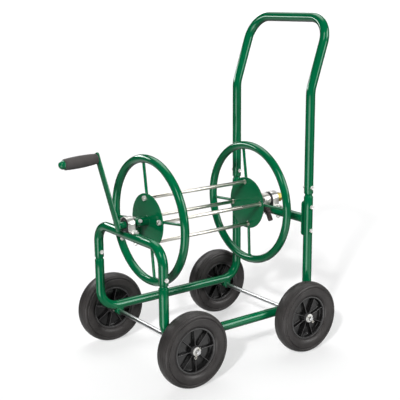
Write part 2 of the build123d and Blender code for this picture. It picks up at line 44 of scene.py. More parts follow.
# ------------------------------------------------------------------ dimensions, millimetres
MID = 40.9
R_OUT, R_IN = 12.7, 10.4
S_OUT, S_IN = 10.3, 8.6
SIDE_Y = 158.0
FRONT_X = MID - 250.0
REAR_X = MID + 238.0
BASE_Z, BASE_BEND = 118.0, 55.0
F_SHOULDER, F_SPIGOT = 261.5, 306.0
R_SHOULDER, R_SPIGOT = 428.0, 475.0
HOOP_END, HOOP_Z, HOOP_BEND = 270.5, 365.5, 50.0
HANDLE_END, KNEE_Z, KNEE_BEND = 437.5, 722.0, 90.0
TOP_X, TOP_Z, TOP_BEND = MID + 303.0, 912.0, 68.0
BAR_Z = 363.0
PLATE_OUT_Y, PLATE_IN_Y = 145.3, 142.3
AXIS_Z = 395.0
RING_R, RING_r = 165.0, 11.0
RING_X = (MID - 187.5, MID + 152.6)
SPOKE_X = (MID - 185.5, MID + 152.6)
DISC_X, DISC_T, DISC_R = (MID - 192.0, MID + 146.1), 2.5, 73.5
TURNS = [7.0 + 90.0 * k for k in range(4)]
SPOKE_TURN = ((8.0, 97.0, 187.0, 277.0), (8.0, 94.0, 182.5, 273.5))
ROD_R = 60.5
AXLE_X = (MID - 193.4, MID + 193.4)
WHEEL_R, WHEEL_Y = 100.0, 201.0
RIB_ANGLE = {"front_left": 2.1, "rear_left": 19.8, "front_right": 31.0, "rear_right": 11.0}
ARM_X = (MID - 286.0, MID - 281.0)
ARM_ANGLE, ARM_R, ARM_TIP, ARM_TAIL, ARM_W = radians(28.5), 187.0, 16.0, 15.0, 20.0
TILT = radians(3.1)
AXLE_R = 6.0


# ------------------------------------------------------------------ mesh building
class Shape:
    def __init__(self):
        self.v, self.f, self.n = [], [], 0

    def add(self, verts, faces):
        verts = np.asarray(verts, float).reshape(-1, 3)
        b = self.n
        self.v.append(verts)
        self.n += len(verts)
        self.f.extend([tuple(int(i) + b for i in f) for f in faces])

    def grid(self, p, closed_u=False, closed_v=True, cap0=False, cap1=False):
        p = np.asarray(p, float)
        n, m, _ = p.shape
        idx = np.arange(n * m).reshape(n, m)
        nu, nv = (n if closed_u else n - 1), (m if closed_v else m - 1)
        faces = []
        for i in range(nu):
            a, b = idx[i], idx[(i + 1) % n]
            for j in range(nv):
                k = (j + 1) % m
                faces.append((a[j], a[k], b[k], b[j]))
        if cap0:
            faces.append(tuple(idx[0][::-1]))
        if cap1:
            faces.append(tuple(idx[-1]))
        self.add(p.reshape(-1, 3), faces)


def unit(v):
    v = np.asarray(v, float)
    return v / np.linalg.norm(v)


def basis(axis, hint=None):
    """Two directions square to axis; the first is as near hint as it can be."""
    z = unit(axis)
    h = np.array(hint if hint is not None else ((0, 0, 1) if abs(z[2]) < 0.9 else (1, 0, 0)), float)
    x = unit(h - z * np.dot(h, z))
    return x, np.cross(z, x), z


def lathe(s, prof, origin, axis, seg=48, closed=False, hint=None):
    """Turned shape: prof holds (radius, height along axis); radius 0 closes it with a point."""
    ex, ey, ez = basis(axis, hint)
    o = np.asarray(origin, float)
    t = np.arange(seg) * 2 * pi / seg
    ring = np.cos(t)[:, None] * ex + np.sin(t)[:, None] * ey
    verts, rows = [], []
    for r, h in prof:
        if r < 1e-7:
            rows.append([len(verts)])
            verts.append(o + ez * h)
        else:
            rows.append(list(range(len(verts), len(verts) + seg)))
            verts.extend(o + ez * h + ring * r)
    faces = []
    pairs = list(zip(rows[:-1], rows[1:])) + ([(rows[-1], rows[0])] if closed else [])
    for a, b in pairs:
        for j in range(seg):
            k = (j + 1) % seg
            if len(a) == 1 and len(b) == 1:
                continue
            if len(a) == 1:
                faces.append((a[0], b[k], b[j]))
            elif len(b) == 1:
                faces.append((a[j], a[k], b[0]))
            else:
                faces.append((a[j], a[k], b[k], b[j]))
    s.add(verts, faces)


def soft(points, radii, closed=False, n=4):
    """2-D polyline with its corners rounded."""
    pts = [np.asarray(p, float) for p in points]
    if not hasattr(radii, "__len__"):
        radii = [radii] * len(pts)
    out = []
    for i, p in enumerate(pts):
        if not closed and i in (0, len(pts) - 1) or radii[i] <= 0:
            out.append(p)
            continue
        a, b = pts[i - 1] - p, pts[(i + 1) % len(pts)] - p
        la, lb = np.linalg.norm(a), np.linalg.norm(b)
        a, b = a / la, b / lb
        ang = np.arccos(np.clip(np.dot(a, b), -1, 1))
        if ang > pi - 0.02:
            out.append(p)
            continue
        d = min(radii[i] / tan(ang / 2), 0.49 * la, 0.49 * lb)
        r = d * tan(ang / 2)
        c = p + unit(a + b) * (r / sin(ang / 2))
        p0, p1 = p + a * d, p + b * d
        a0, a1 = atan2(*(p0 - c)[::-1]), atan2(*(p1 - c)[::-1])
        da = (a1 - a0 + pi) % (2 * pi) - pi
        for k in range(n + 1):
            q = a0 + da * k / n
            out.append(c + r * np.array([cos(q), sin(q)]))
    return [tuple(p) for p in out]


def fillet_path(points, radii, per=3.0, straight=30.0):
    """Stations (point, tangent) along a bent centre line, an arc station every few degrees."""
    pts = [np.asarray(p, float) for p in points]
    legs = []
    start = pts[0]
    out = []

    def run(a, b):
        d = b - a
        n = max(1, int(np.linalg.norm(d) / straight))
        u = unit(d)
        for k in range(n + 1):
            out.append((a + d * k / n, u))

    for i in range(1, len(pts) - 1):
        p = pts[i]
        a, b = unit(pts[i - 1] - p), unit(pts[i + 1] - p)
        ang = np.arccos(np.clip(np.dot(a, b), -1, 1))
        r = radii[i - 1]
        d = r / tan(ang / 2)
        p0 = p + a * d
        run(start, p0)
        c = p + unit(a + b) * (r / sin(ang / 2))
        e0 = unit(p0 - c)
        e1 = -a
        turn = pi - ang
        n = max(3, int(np.degrees(turn) / per))
        for k in range(1, n):
            q = turn * k / n
            out.append((c + r * (e0 * cos(q) + e1 * sin(q)), e1 * cos(q) - e0 * sin(q)))
        start = p + b * d
        legs.append(start)
    run(start, pts[-1])
    return out


def carry(tangents, hint):
    """Frames carried along a path without twist."""
    x, y, _ = basis(tangents[0], hint)
    out = [(x, y)]
    for t0, t1 in zip(tangents[:-1], tangents[1:]):
        v = np.cross(t0, t1)
        if np.linalg.norm(v) > 1e-9:
            a = np.arctan2(np.linalg.norm(v), np.dot(t0, t1))
            r = np.array(Matrix.Rotation(a, 3, Vector(unit(v))))
            x, y = r @ x, r @ y
        out.append((x, y))
    return out


def rings(stations, radii, seg, hint=(0, 1, 0)):
    t = np.arange(seg) * 2 * pi / seg
    fr = carry([unit(s[1]) for s in stations], hint)
    return np.array([p + np.cos(t)[:, None] * x * r + np.sin(t)[:, None] * y * r
                     for (p, _), (x, y), r in zip(stations, fr, radii)])


def hollow(s, stations, ro, ri, seg=40, lip=0.35, hint=(0, 1, 0)):
    """Thin-wall tube: outer skin, rounded lips, inner skin, one closed surface."""
    st = [(np.asarray(p, float), unit(t)) for p, t in stations]
    ro, ri = list(ro), list(ri)
    p0, t0 = st[0]
    p1, t1 = st[-1]
    full = [(p0 + t0 * lip, t0)] + st[1:-1] + [(p1 - t1 * lip, t1)]
    go = rings(full, ro, seg, hint)
    gi = rings(full, ri, seg, hint)
    ends = []
    for (p, t), k in (((p0, t0), 0), ((p1, t1), -1)):
        step = []
        x = -1 if k == 0 else 1
        for a in (45.0, 90.0):
            q = radians(a)
            step.append(((p - x * t * lip) + x * t * lip * sin(q), ro[k] - lip * (1 - cos(q))))
        for a in (90.0, 45.0):
            q = radians(a)
            step.append(((p - x * t * lip) + x * t * lip * sin(q), ri[k] + lip * (1 - cos(q))))
        ends.append(step)

    def ring_like(g, c, p, r, old):
        return p + (g - c) * (r / old)

    tail = [ring_like(go[-1], full[-1][0], p, r, ro[-1]) for p, r in ends[1]]
    head = [ring_like(go[0], full[0][0], p, r, ro[0]) for p, r in ends[0]]
    loop = list(go) + tail + list(gi[::-1]) + head[::-1]
    s.grid(np.array(loop), closed_u=True)


def rod(s, stations, radii, seg=16, hint=(0, 1, 0), cap=True):
    s.grid(rings(stations, radii, seg, hint), cap0=cap, cap1=cap)


def loop_tube(s, pts, radii, normals, seg=12):
    """Closed tube through pts; normals keep the section from twisting."""
    pts = np.asarray(pts, float)
    n = len(pts)
    tan_ = np.roll(pts, -1, 0) - np.roll(pts, 1, 0)
    t = np.arange(seg) * 2 * pi / seg
    g = []
    for p, d, m, r in zip(pts, tan_, normals, radii):
        d = unit(d)
        x = unit(m - d * np.dot(m, d))
        y = np.cross(d, x)
        g.append(p + r * (np.cos(t)[:, None] * x + np.sin(t)[:, None] * y))
    s.grid(np.array(g), closed_u=True)


def bead(s, pts, normals, r, pitch=1.7, closed=True, seg=10, seed=0.0):
    """Weld bead: a run of small overlapping ripples along pts."""
    pts, normals = np.asarray(pts, float), np.asarray(normals, float)
    if closed:
        q = np.vstack([pts, pts[:1]])
        m = np.vstack([normals, normals[:1]])
    else:
        q, m = pts, normals
    d = np.concatenate([[0], np.cumsum(np.linalg.norm(np.diff(q, axis=0), axis=1))])
    total = d[-1]
    count = max(3, int(round(total / pitch)))
    n = count * 4
    sl = np.linspace(0, total, n + 1)
    P = np.stack([np.interp(sl, d, q[:, i]) for i in range(3)], 1)
    N = np.stack([np.interp(sl, d, m[:, i]) for i in range(3)], 1)
    ph = (sl / total * count) % 1.0
    rr = r * (0.86 + 0.2 * np.sqrt(np.clip(1 - ph, 0, 1)) + 0.06 * np.sin(sl * 0.9 + seed) + 0.05 * np.sin(sl * 2.3 + 2 * seed))
    if closed:
        loop_tube(s, P[:-1], rr[:-1], N[:-1], seg)
    else:
        w = np.minimum(np.arange(n + 1), np.arange(n + 1)[::-1]) / 3.0
        rr = rr * np.sqrt(np.clip(w, 0.06, 1.0))
        tg = np.gradient(P, axis=0)
        t = np.arange(seg) * 2 * pi / seg
        g = []
        for p, dd, mm, r_ in zip(P, tg, N, rr):
            dd = unit(dd)
            x = unit(mm - dd * np.dot(mm, dd))
            y = np.cross(dd, x)
            g.append(p + r_ * (np.cos(t)[:, None] * x + np.sin(t)[:, None] * y))
        s.grid(np.array(g), cap0=True, cap1=True)


def weld_ring(s, centre, axis, radius, r, pitch=1.7, seed=0.0, n=72):
    ex, ey, ez = basis(axis)
    t = np.arange(n) * 2 * pi / n
    e = np.cos(t)[:, None] * ex + np.sin(t)[:, None] * ey
    bead(s, np.asarray(centre, float) + e * radius, e, r, pitch, True, seed=seed)


def slab(s, outline, thick, edge, origin, ex, ey, n=3):
    """Flat piece with rounded edges. outline is convex, counter-clockwise, in ex and ey."""
    o = np.asarray(outline, float)
    ex, ey = unit(ex), unit(ey)
    ez = np.cross(ex, ey)
    d = np.roll(o, -1, 0) - np.roll(o, 1, 0)
    nrm = np.stack([d[:, 1], -d[:, 0]], 1)
    nrm /= np.linalg.norm(nrm, axis=1)[:, None]
    rows = []
    prof = [(edge * (1 - sin(pi / 2 * k / n)), edge * (1 - cos(pi / 2 * k / n))) for k in range(n + 1)]
    prof = prof + [(i, thick - h) for i, h in prof[::-1]]
    for inset, h in prof:
        q = o - nrm * inset
        rows.append(np.asarray(origin, float) + q[:, :1] * ex + q[:, 1:] * ey + ez * h)
    s.grid(np.array(rows), cap0=True, cap1=True)


def rounded_rect(w, h, r, n=8):
    out = []
    for cx, cy, a0 in ((w / 2 - r, h / 2 - r, 0), (-w / 2 + r, h / 2 - r, 90), (-w / 2 + r, -h / 2 + r, 180), (w / 2 - r, -h / 2 + r, 270)):
        for k in range(n + 1):
            a = radians(a0 + 90.0 * k / n)
            out.append((cx + r * cos(a), cy + r * sin(a)))
    return out


HEX_T = np.arange(48) * 2 * pi / 48


def hex_r(af):
    return (af / 2) / np.cos((HEX_T + pi / 6) % (pi / 3) - pi / 6)


def hex_rows(af, h, top=True, bottom=False, washer=0.0):
    """(height, radius round the hexagon) rows of a hexagon with turned-off corners."""
    full = hex_r(af)
    rc = af * 0.487
    k = tan(radians(30.0))
    rows = []
    zs = [0.0, 0.25, 0.5, 0.75, 1.0]
    c = (full.max() - rc) * k
    if bottom:
        for q in zs:
            rows.append((c * q, np.minimum(full, rc + c * q / k)))
    else:
        rows.append((0.0, full))
    if top:
        for q in zs:
            rows.append((h - c * (1 - q), np.minimum(full, rc + c * (1 - q) / k)))
    else:
        rows.append((h, full))
    return rows


def thread_rows(r, z0, z1, pitch, depth, tip=0.8, seg=48, per=8):
    """Rows of a helical screw thread from z0 to z1, its end bevelled."""
    n = max(4, int((z1 - z0) / pitch * per))
    out = []
    t = np.arange(seg) / seg
    for i in range(n + 1):
        z = z0 + (z1 - z0) * i / n
        ph = (z / pitch - t) % 1.0
        rr = r - depth * np.abs(2 * ph - 1)
        e = (z1 - z) / tip
        if e < 1:
            rr = np.minimum(rr, r - tip * 0.8 * (1 - e))
        out.append((z, rr))
    return out


def stack(s, rows, origin, axis, hint=None, start_point=False, end_point=False, closed=False):
    ex, ey, ez = basis(axis, hint)
    o = np.asarray(origin, float)
    e = np.cos(HEX_T)[:, None] * ex + np.sin(HEX_T)[:, None] * ey
    g = np.array([o + ez * z + e * (np.broadcast_to(r, (48,)))[:, None] for z, r in rows])
    s.grid(g, closed_u=closed, cap0=start_point, cap1=end_point)


def bolt(s, seat, d, length, size=6.0, af=10.0, head=4.0, turn=0.0, thread=9.0):
    """Hexagon bolt: head stands on seat along d, shank goes the other way."""
    d = unit(d)
    ex, ey, _ = basis(d)
    hint = ex * cos(turn) + ey * sin(turn)
    rows = [(z, r) for z, r in hex_rows(af, head)]
    rows.append((head, np.full(48, af * 0.40)))
    rows.append((head - 0.25, np.full(48, af * 0.36)))
    rows = [(0.0, np.full(48, size / 2))] + rows
    stack(s, rows, seat, d, hint, end_point=True)
    # shank, joined on the same ring
    sh = [(0.0, np.full(48, size / 2)), (length - thread, np.full(48, size / 2))]
    sh += thread_rows(size / 2 - 0.02, length - thread + 0.3, length, 1.0, 0.55)
    stack(s, sh, seat, -d, hint, end_point=True)


def nut(s, seat, d, h=5.0, size=6.0, af=10.0, turn=0.0):
    d = unit(d)
    ex, ey, _ = basis(d)
    hint = ex * cos(turn) + ey * sin(turn)
    b = size / 2 + 0.03
    rows = hex_rows(af, h, True, True)
    rows = rows + [(h - 0.05, np.full(48, b + 0.75)), (h - 0.7, np.full(48, b)), (0.7, np.full(48, b)), (0.05, np.full(48, b + 0.75))]
    stack(s, rows, seat, d, hint, closed=True)


def washer(s, p, d, t, ro, ri, e=0.35, seg=56):
    prof = soft([(ri, 0), (ro, 0), (ro, t), (ri, t)], e, closed=True, n=3)
    lathe(s, prof, p, d, seg, closed=True)


MATS = {}


def emit(s, name, body, slot, nodes=(), sharp=34.0, origin=(0, 0, 0), weld=True, look=None):
    me = bpy.data.meshes.new(name)
    v = (np.concatenate(s.v) - np.asarray(origin, float)) * MM
    me.from_pydata(v.tolist(), [], s.f)
    bm = bmesh.new()
    bm.from_mesh(me)
    if weld:
        bmesh.ops.remove_doubles(bm, verts=bm.verts, dist=2e-7)
    bmesh.ops.recalc_face_normals(bm, faces=bm.faces)
    bm.to_mesh(me)
    bm.free()
    me.shade_smooth()
    me.set_sharp_from_angle(angle=radians(sharp))
    ob = bpy.data.objects.new(name, me)
    scene.collection.objects.link(ob)
    ob.location = Vector(origin) * MM
    me.materials.append(MATS[look or slot])
    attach(ob, body)
    if nodes:
        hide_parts(*nodes)
    return ob


# ------------------------------------------------------------------ materials
class Tree:
    def __init__(self, name):
        self.mat = bpy.data.materials.new(name)
        self.mat.use_nodes = True
        self.t = self.mat.node_tree
        self.t.nodes.clear()
        self.out = self.t.nodes.new("ShaderNodeOutputMaterial")
        self.b = self.t.nodes.new("ShaderNodeBsdfPrincipled")
        self.t.links.new(self.b.outputs[0], self.out.inputs[0])
        self.co = self.t.nodes.new("ShaderNodeTexCoord").outputs["Object"]

    def link(self, a, b):
        self.t.links.new(a, b)

    def stretched(self, x, y, z):
        m = self.t.nodes.new("ShaderNodeMapping")
        m.inputs["Scale"].default_value = (x, y, z)
        self.link(self.co, m.inputs["Vector"])
        return m.outputs[0]

    def noise(self, scale, detail=2.0, rough=0.5, vec=None, warp=0.0):
        n = self.t.nodes.new("ShaderNodeTexNoise")
        n.inputs["Scale"].default_value = scale
        n.inputs["Detail"].default_value = detail
        n.inputs["Roughness"].default_value = rough
        n.inputs["Distortion"].default_value = warp
        self.link(vec or self.co, n.inputs["Vector"])
        return n.outputs["Fac"]

    def cells(self, scale, feature="F1", vec=None):
        n = self.t.nodes.new("ShaderNodeTexVoronoi")
        n.feature = feature
        n.inputs["Scale"].default_value = scale
        self.link(vec or self.co, n.inputs["Vector"])
        return n.outputs["Distance"]

    def span(self, x, a, b, c, d):
        n = self.t.nodes.new("ShaderNodeMapRange")
        for k, v in (("From Min", a), ("From Max", b), ("To Min", c), ("To Max", d)):
            n.inputs[k].default_value = v
        self.link(x, n.inputs["Value"])
        return n.outputs[0]

    def ramp(self, x, stops):
        n = self.t.nodes.new("ShaderNodeValToRGB")
        el = n.color_ramp.elements
        while len(el) < len(stops):
            el.new(0.5)
        for e, (p, c) in zip(el, stops):
            e.position = p
            e.color = (*c, 1)
        self.link(x, n.inputs["Fac"])
        return n.outputs["Color"]

    def mix(self, fac, a, b, kind="MIX"):
        n = self.t.nodes.new("ShaderNodeMix")
        n.data_type = "RGBA"
        n.blend_type = kind
        for v, i in ((fac, 0), (a, 6), (b, 7)):
            if isinstance(v, (int, float)):
                n.inputs[i].default_value = v
            elif isinstance(v, tuple):
                n.inputs[i].default_value = (*v, 1)
            else:
                self.link(v, n.inputs[i])
        return n.outputs[2]

    def math(self, op, a, b=0.5):
        n = self.t.nodes.new("ShaderNodeMath")
        n.operation = op
        for i, v in enumerate((a, b)):
            if isinstance(v, (int, float)):
                n.inputs[i].default_value = v
            else:
                self.link(v, n.inputs[i])
        return n.outputs[0]

    def bump(self, height, strength, distance, after=None):
        n = self.t.nodes.new("ShaderNodeBump")
        n.inputs["Strength"].default_value = strength
        n.inputs["Distance"].default_value = distance
        self.link(height, n.inputs["Height"])
        if after is not None:
            self.link(after, n.inputs["Normal"])
        return n.outputs[0]

    def edges(self, lo=0.5, hi=0.6):
        g = self.t.nodes.new("ShaderNodeNewGeometry")
        return self.span(g.outputs["Pointiness"], lo, hi, 0.0, 1.0)

    def set(self, **kw):
        for k, v in kw.items():
            s = self.b.inputs[k.replace("_", " ")]
            if isinstance(v, (int, float)):
                s.default_value = v
            elif isinstance(v, tuple):
                s.default_value = (*v, 1) if len(v) == 3 else v
            else:
                self.link(v, s)


# gloss green paint: slow change of depth, orange peel, fine dust
t = Tree("green_paint")
deep = t.ramp(t.noise(7.0, 3.0), [(0.3, (0.0, 0.074, 0.0265)), (0.7, (0.0, 0.092, 0.034))])
dust = t.span(t.noise(900.0, 2.0, 0.7), 0.66, 0.82, 0.0, 0.35)
t.set(Base_Color=t.mix(dust, deep, (0.004, 0.14, 0.06)),
      Roughness=t.span(t.noise(38.0, 4.0, 0.6), 0.3, 0.7, 0.06, 0.13),
      Specular_Tint=(0.76, 1.0, 0.89),
      Normal=t.bump(t.noise(420.0, 2.0), 0.06, 0.0004, t.bump(t.noise(55.0, 2.0), 0.07, 0.0015)))
MATS["green_paint"] = t.mat

# bright zinc: pale warm grey, cloudy passivation, drawn smooth
t = Tree("zinc")
cloud = t.noise(55.0, 4.0, 0.55)
t.set(Metallic=1.0,
      Base_Color=t.ramp(cloud, [(0.3, (0.64, 0.615, 0.55)), (0.55, (0.73, 0.705, 0.635)), (0.75, (0.80, 0.775, 0.695))]),
      Roughness=t.span(t.noise(40.0, 3.0, 0.6), 0.3, 0.7, 0.26, 0.36),
      Normal=t.bump(t.noise(30.0, 2.0), 0.03, 0.0006))
MATS["zinc"] = t.mat

# the same plating on the axles: cooler grey
t = Tree("zinc_grey")
t.set(Metallic=1.0,
      Base_Color=t.ramp(t.noise(55.0, 4.0, 0.55), [(0.3, (0.54, 0.545, 0.55)), (0.7, (0.68, 0.685, 0.69))]),
      Roughness=t.span(t.noise(40.0, 3.0, 0.6), 0.3, 0.7, 0.28, 0.38),
      Normal=t.bump(t.noise(30.0, 2.0), 0.03, 0.0006))
MATS["zinc_grey"] = t.mat

# the same plating on bolts, nuts and washers: whiter passivation
t = Tree("zinc_white")
t.set(Metallic=t.span(t.noise(120.0, 3.0), 0.3, 0.7, 0.40, 0.60),
      Base_Color=t.ramp(t.noise(150.0, 4.0), [(0.3, (0.62, 0.615, 0.59)), (0.7, (0.76, 0.755, 0.73))]),
      Roughness=t.span(t.noise(200.0, 3.0), 0.3, 0.7, 0.30, 0.44))
MATS["zinc_white"] = t.mat

# the same plating on pressed strip, buffed brighter
t = Tree("zinc_bright")
t.set(Metallic=t.span(t.noise(50.0, 2.0), 0.3, 0.7, 0.80, 0.95),
      Base_Color=t.ramp(t.noise(60.0, 4.0), [(0.3, (0.64, 0.63, 0.60)), (0.7, (0.77, 0.76, 0.72))]),
      Roughness=t.span(t.noise(90.0, 3.0), 0.3, 0.7, 0.26, 0.36),
      Normal=t.bump(t.noise(140.0, 2.0), 0.05, 0.0005))
MATS["zinc_bright"] = t.mat

# solid rubber: charcoal, mottled bloom, fine moulded grain
t = Tree("tyre_rubber")
bloom = t.noise(26.0, 5.0, 0.62)
speck = t.noise(520.0, 3.0, 0.6)
base = t.ramp(bloom, [(0.28, (0.0158, 0.0144, 0.0141)), (0.55, (0.0238, 0.0217, 0.0211)), (0.78, (0.0355, 0.0325, 0.0315))])
t.set(Base_Color=t.mix(t.span(speck, 0.55, 0.8, 0.0, 0.45), base, (0.070, 0.063, 0.060)),
      Roughness=t.span(t.noise(60.0, 4.0), 0.3, 0.7, 0.36, 0.54),
      Specular_IOR_Level=0.38,
      Normal=t.bump(speck, 0.18, 0.0004, t.bump(t.noise(90.0, 3.0), 0.08, 0.001)))
MATS["tyre_rubber"] = t.mat

# moulded wheel centre: near-black satin plastic with flow marks, its rib tops and other raised faces painted lighter as
# a painted highlight
t = Tree("rim_plastic")
flow = t.noise(45.0, 4.0, 0.55, warp=0.6)
base = t.ramp(flow, [(0.3, (0.0040, 0.0040, 0.0041)), (0.7, (0.0080, 0.0078, 0.0078))])
sp = t.t.nodes.new("ShaderNodeSeparateXYZ")
t.link(t.co, sp.inputs[0])
proud = t.math("ABSOLUTE", sp.outputs[1])
# painted highlight: faces standing out past about 11 mm (rib tops, lip, hub) made lighter in noisy patches
painted_rib_highlight = t.math("MULTIPLY", t.span(proud, 0.0108, 0.0119, 0.0, 1.0), t.span(t.noise(160.0, 3.0), 0.25, 0.7, 0.45, 1.0))
t.set(Base_Color=t.mix(painted_rib_highlight, base, (0.040, 0.039, 0.039)),
      Roughness=t.span(t.noise(110.0, 3.0), 0.3, 0.7, 0.14, 0.24),
      Normal=t.bump(t.noise(700.0, 2.0), 0.10, 0.0003))
MATS["rim_plastic"] = t.mat

# moulded bushes and hose fittings
t = Tree("black_plastic")
t.set(Base_Color=t.ramp(t.noise(60.0, 4.0), [(0.3, (0.010, 0.010, 0.011)), (0.7, (0.024, 0.024, 0.025))]),
      Roughness=t.span(t.noise(160.0, 3.0), 0.3, 0.7, 0.32, 0.5),
      Normal=t.bump(t.noise(900.0, 2.0), 0.15, 0.0003))
MATS["black_plastic"] = t.mat

# the same plastic on the hose outlet, browner with age
t = Tree("brown_plastic")
t.set(Base_Color=t.ramp(t.noise(60.0, 4.0), [(0.3, (0.020, 0.0150, 0.0135)), (0.7, (0.046, 0.036, 0.033))]),
      Roughness=t.span(t.noise(160.0, 3.0), 0.3, 0.7, 0.34, 0.5),
      Normal=t.bump(t.noise(900.0, 2.0), 0.15, 0.0003))
MATS["brown_plastic"] = t.mat

# soft grip: matte charcoal with a dense closed-cell grain, its pore pits painted darker as painted shade
t = Tree("grip_foam")
pores = t.cells(900.0)
# painted shade: the colour darkens toward each pore centre, where the bump sinks a pit
t.set(Base_Color=t.mix(t.span(pores, 0.0, 0.5, 0.7, 0.0), t.ramp(t.noise(40.0, 4.0), [(0.3, (0.036, 0.0325, 0.031)), (0.7, (0.054, 0.049, 0.047))]), (0.016, 0.016, 0.016)),
      Roughness=t.span(t.noise(80.0, 3.0), 0.3, 0.7, 0.72, 0.92),
      Specular_IOR_Level=0.3, Sheen_Weight=0.08, Sheen_Roughness=0.5,
      Normal=t.bump(pores, 0.35, 0.0004, t.bump(t.noise(120.0, 3.0), 0.15, 0.0008)))
MATS["grip_foam"] = t.mat

# turned brass: warm metal with fine lathe lines round the reel axis
t = Tree("brass")
lines = t.noise(900.0, 2.0, 0.5, vec=t.stretched(2.4, 0.05, 0.05))
t.set(Metallic=1.0,
      Base_Color=t.ramp(t.noise(90.0, 4.0), [(0.3, (0.32, 0.255, 0.070)), (0.7, (0.44, 0.355, 0.105))]),
      Roughness=t.span(lines, 0.3, 0.7, 0.40, 0.52),
      Normal=t.bump(lines, 0.12, 0.0002))
MATS["brass"] = t.mat

# nickel-plated brass
t = Tree("plated_brass")
lines = t.noise(800.0, 2.0, 0.5, vec=t.stretched(2.4, 0.05, 0.05))
t.set(Metallic=1.0,
      Base_Color=t.ramp(t.noise(75.0, 4.0), [(0.3, (0.60, 0.585, 0.55)), (0.7, (0.74, 0.725, 0.68))]),
      Roughness=t.span(t.noise(80.0, 3.0), 0.3, 0.7, 0.36, 0.46),
      Normal=t.bump(lines, 0.06, 0.0002))
MATS["plated_brass"] = t.mat

t = Tree("seal_rubber")
t.set(Base_Color=t.ramp(t.noise(300.0, 3.0), [(0.3, (0.012, 0.012, 0.012)), (0.7, (0.03, 0.03, 0.03))]),
      Roughness=t.span(t.noise(400.0, 2.0), 0.3, 0.7, 0.5, 0.7))
MATS["seal_rubber"] = t.mat

# ------------------------------------------------------------------ frame tubes
NECK = [(0.0, 0.0), (0.5, 0.08), (1.0, 0.27), (2.0, 0.73), (2.5, 0.92), (3.0, 1.0)]


def neck(z0, z1):
    """Heights and radii of a swaged end above its shoulder."""
    rows = [(z0 + h, R_OUT + (S_OUT - R_OUT) * k, R_IN + (S_IN - R_IN) * k) for h, k in NECK]
    return rows + [(z0 + 12, S_OUT, S_IN), (z1, S_OUT, S_IN)]


for name, y in (("base_tube_left", -SIDE_Y), ("base_tube_right", SIDE_Y)):
    path = fillet_path([(FRONT_X, y, F_SHOULDER), (FRONT_X, y, BASE_Z), (REAR_X, y, BASE_Z), (REAR_X, y, R_SHOULDER)], [BASE_BEND, BASE_BEND])
    ro, ri = [R_OUT] * len(path), [R_IN] * len(path)
    a, b = neck(F_SHOULDER, F_SPIGOT)[1:], neck(R_SHOULDER, R_SPIGOT)[1:]
    st = [(np.array([FRONT_X, y, z]), np.array([0, 0, -1.0])) for z, _, _ in a[::-1]] + path + [(np.array([REAR_X, y, z]), np.array([0, 0, 1.0])) for z, _, _ in b]
    ro = [r for _, r, _ in a[::-1]] + ro + [r for _, r, _ in b]
    ri = [r for _, _, r in a[::-1]] + ri + [r for _, _, r in b]
    s = Shape()
    hollow(s, st, ro, ri)
    emit(s, "v_" + name, "frame", "green_paint", [name])

s = Shape()
path = fillet_path([(FRONT_X, -SIDE_Y, HOOP_END), (FRONT_X, -SIDE_Y, HOOP_Z), (FRONT_X, SIDE_Y, HOOP_Z), (FRONT_X, SIDE_Y, HOOP_END)], [HOOP_BEND] * 2)
hollow(s, path, [R_OUT] * len(path), [R_IN] * len(path), hint=(1, 0, 0))
emit(s, "v_front_hoop", "frame", "green_paint", ["front_hoop"])

s = Shape()
path = fillet_path([(REAR_X, -SIDE_Y, HANDLE_END), (REAR_X, -SIDE_Y, KNEE_Z), (TOP_X, -SIDE_Y, TOP_Z), (TOP_X, SIDE_Y, TOP_Z),
                    (REAR_X, SIDE_Y, KNEE_Z), (REAR_X, SIDE_Y, HANDLE_END)], [KNEE_BEND, TOP_BEND, TOP_BEND, KNEE_BEND], per=2.5)
hollow(s, path, [R_OUT] * len(path), [R_IN] * len(path), hint=(1, 0, 0))
emit(s, "v_push_handle", "frame", "green_paint", ["push_handle"])

# crossbar with its end plates, welded all round
s = Shape()
hollow(s, [(np.array([REAR_X, -PLATE_IN_Y, BAR_Z]), np.array([0, 1.0, 0])), (np.array([REAR_X, 0, BAR_Z]), np.array([0, 1.0, 0])),
           (np.array([REAR_X, PLATE_IN_Y, BAR_Z]), np.array([0, 1.0, 0]))], [R_OUT] * 3, [R_IN] * 3, hint=(1, 0, 0), lip=0.2)
for sg in (-1, 1):
    weld_ring(s, (REAR_X, sg * (PLATE_IN_Y - 0.7), BAR_Z), (0, 1, 0), R_OUT + 0.5, 1.7, 1.9, seed=sg)
emit(s, "v_rear_crossbar", "frame", "green_paint", ["rear_crossbar"])
s = Shape()
for sg in (-1, 1):
    slab(s, rounded_rect(24.0, 99.0, 9.0), 3.0, 0.7, (REAR_X, -PLATE_OUT_Y if sg < 0 else PLATE_IN_Y, 365.0), (1, 0, 0), (0, 0, -1))
emit(s, "v_crossbar_end_plates", "frame", "green_paint", ["crossbar_end_plates"])

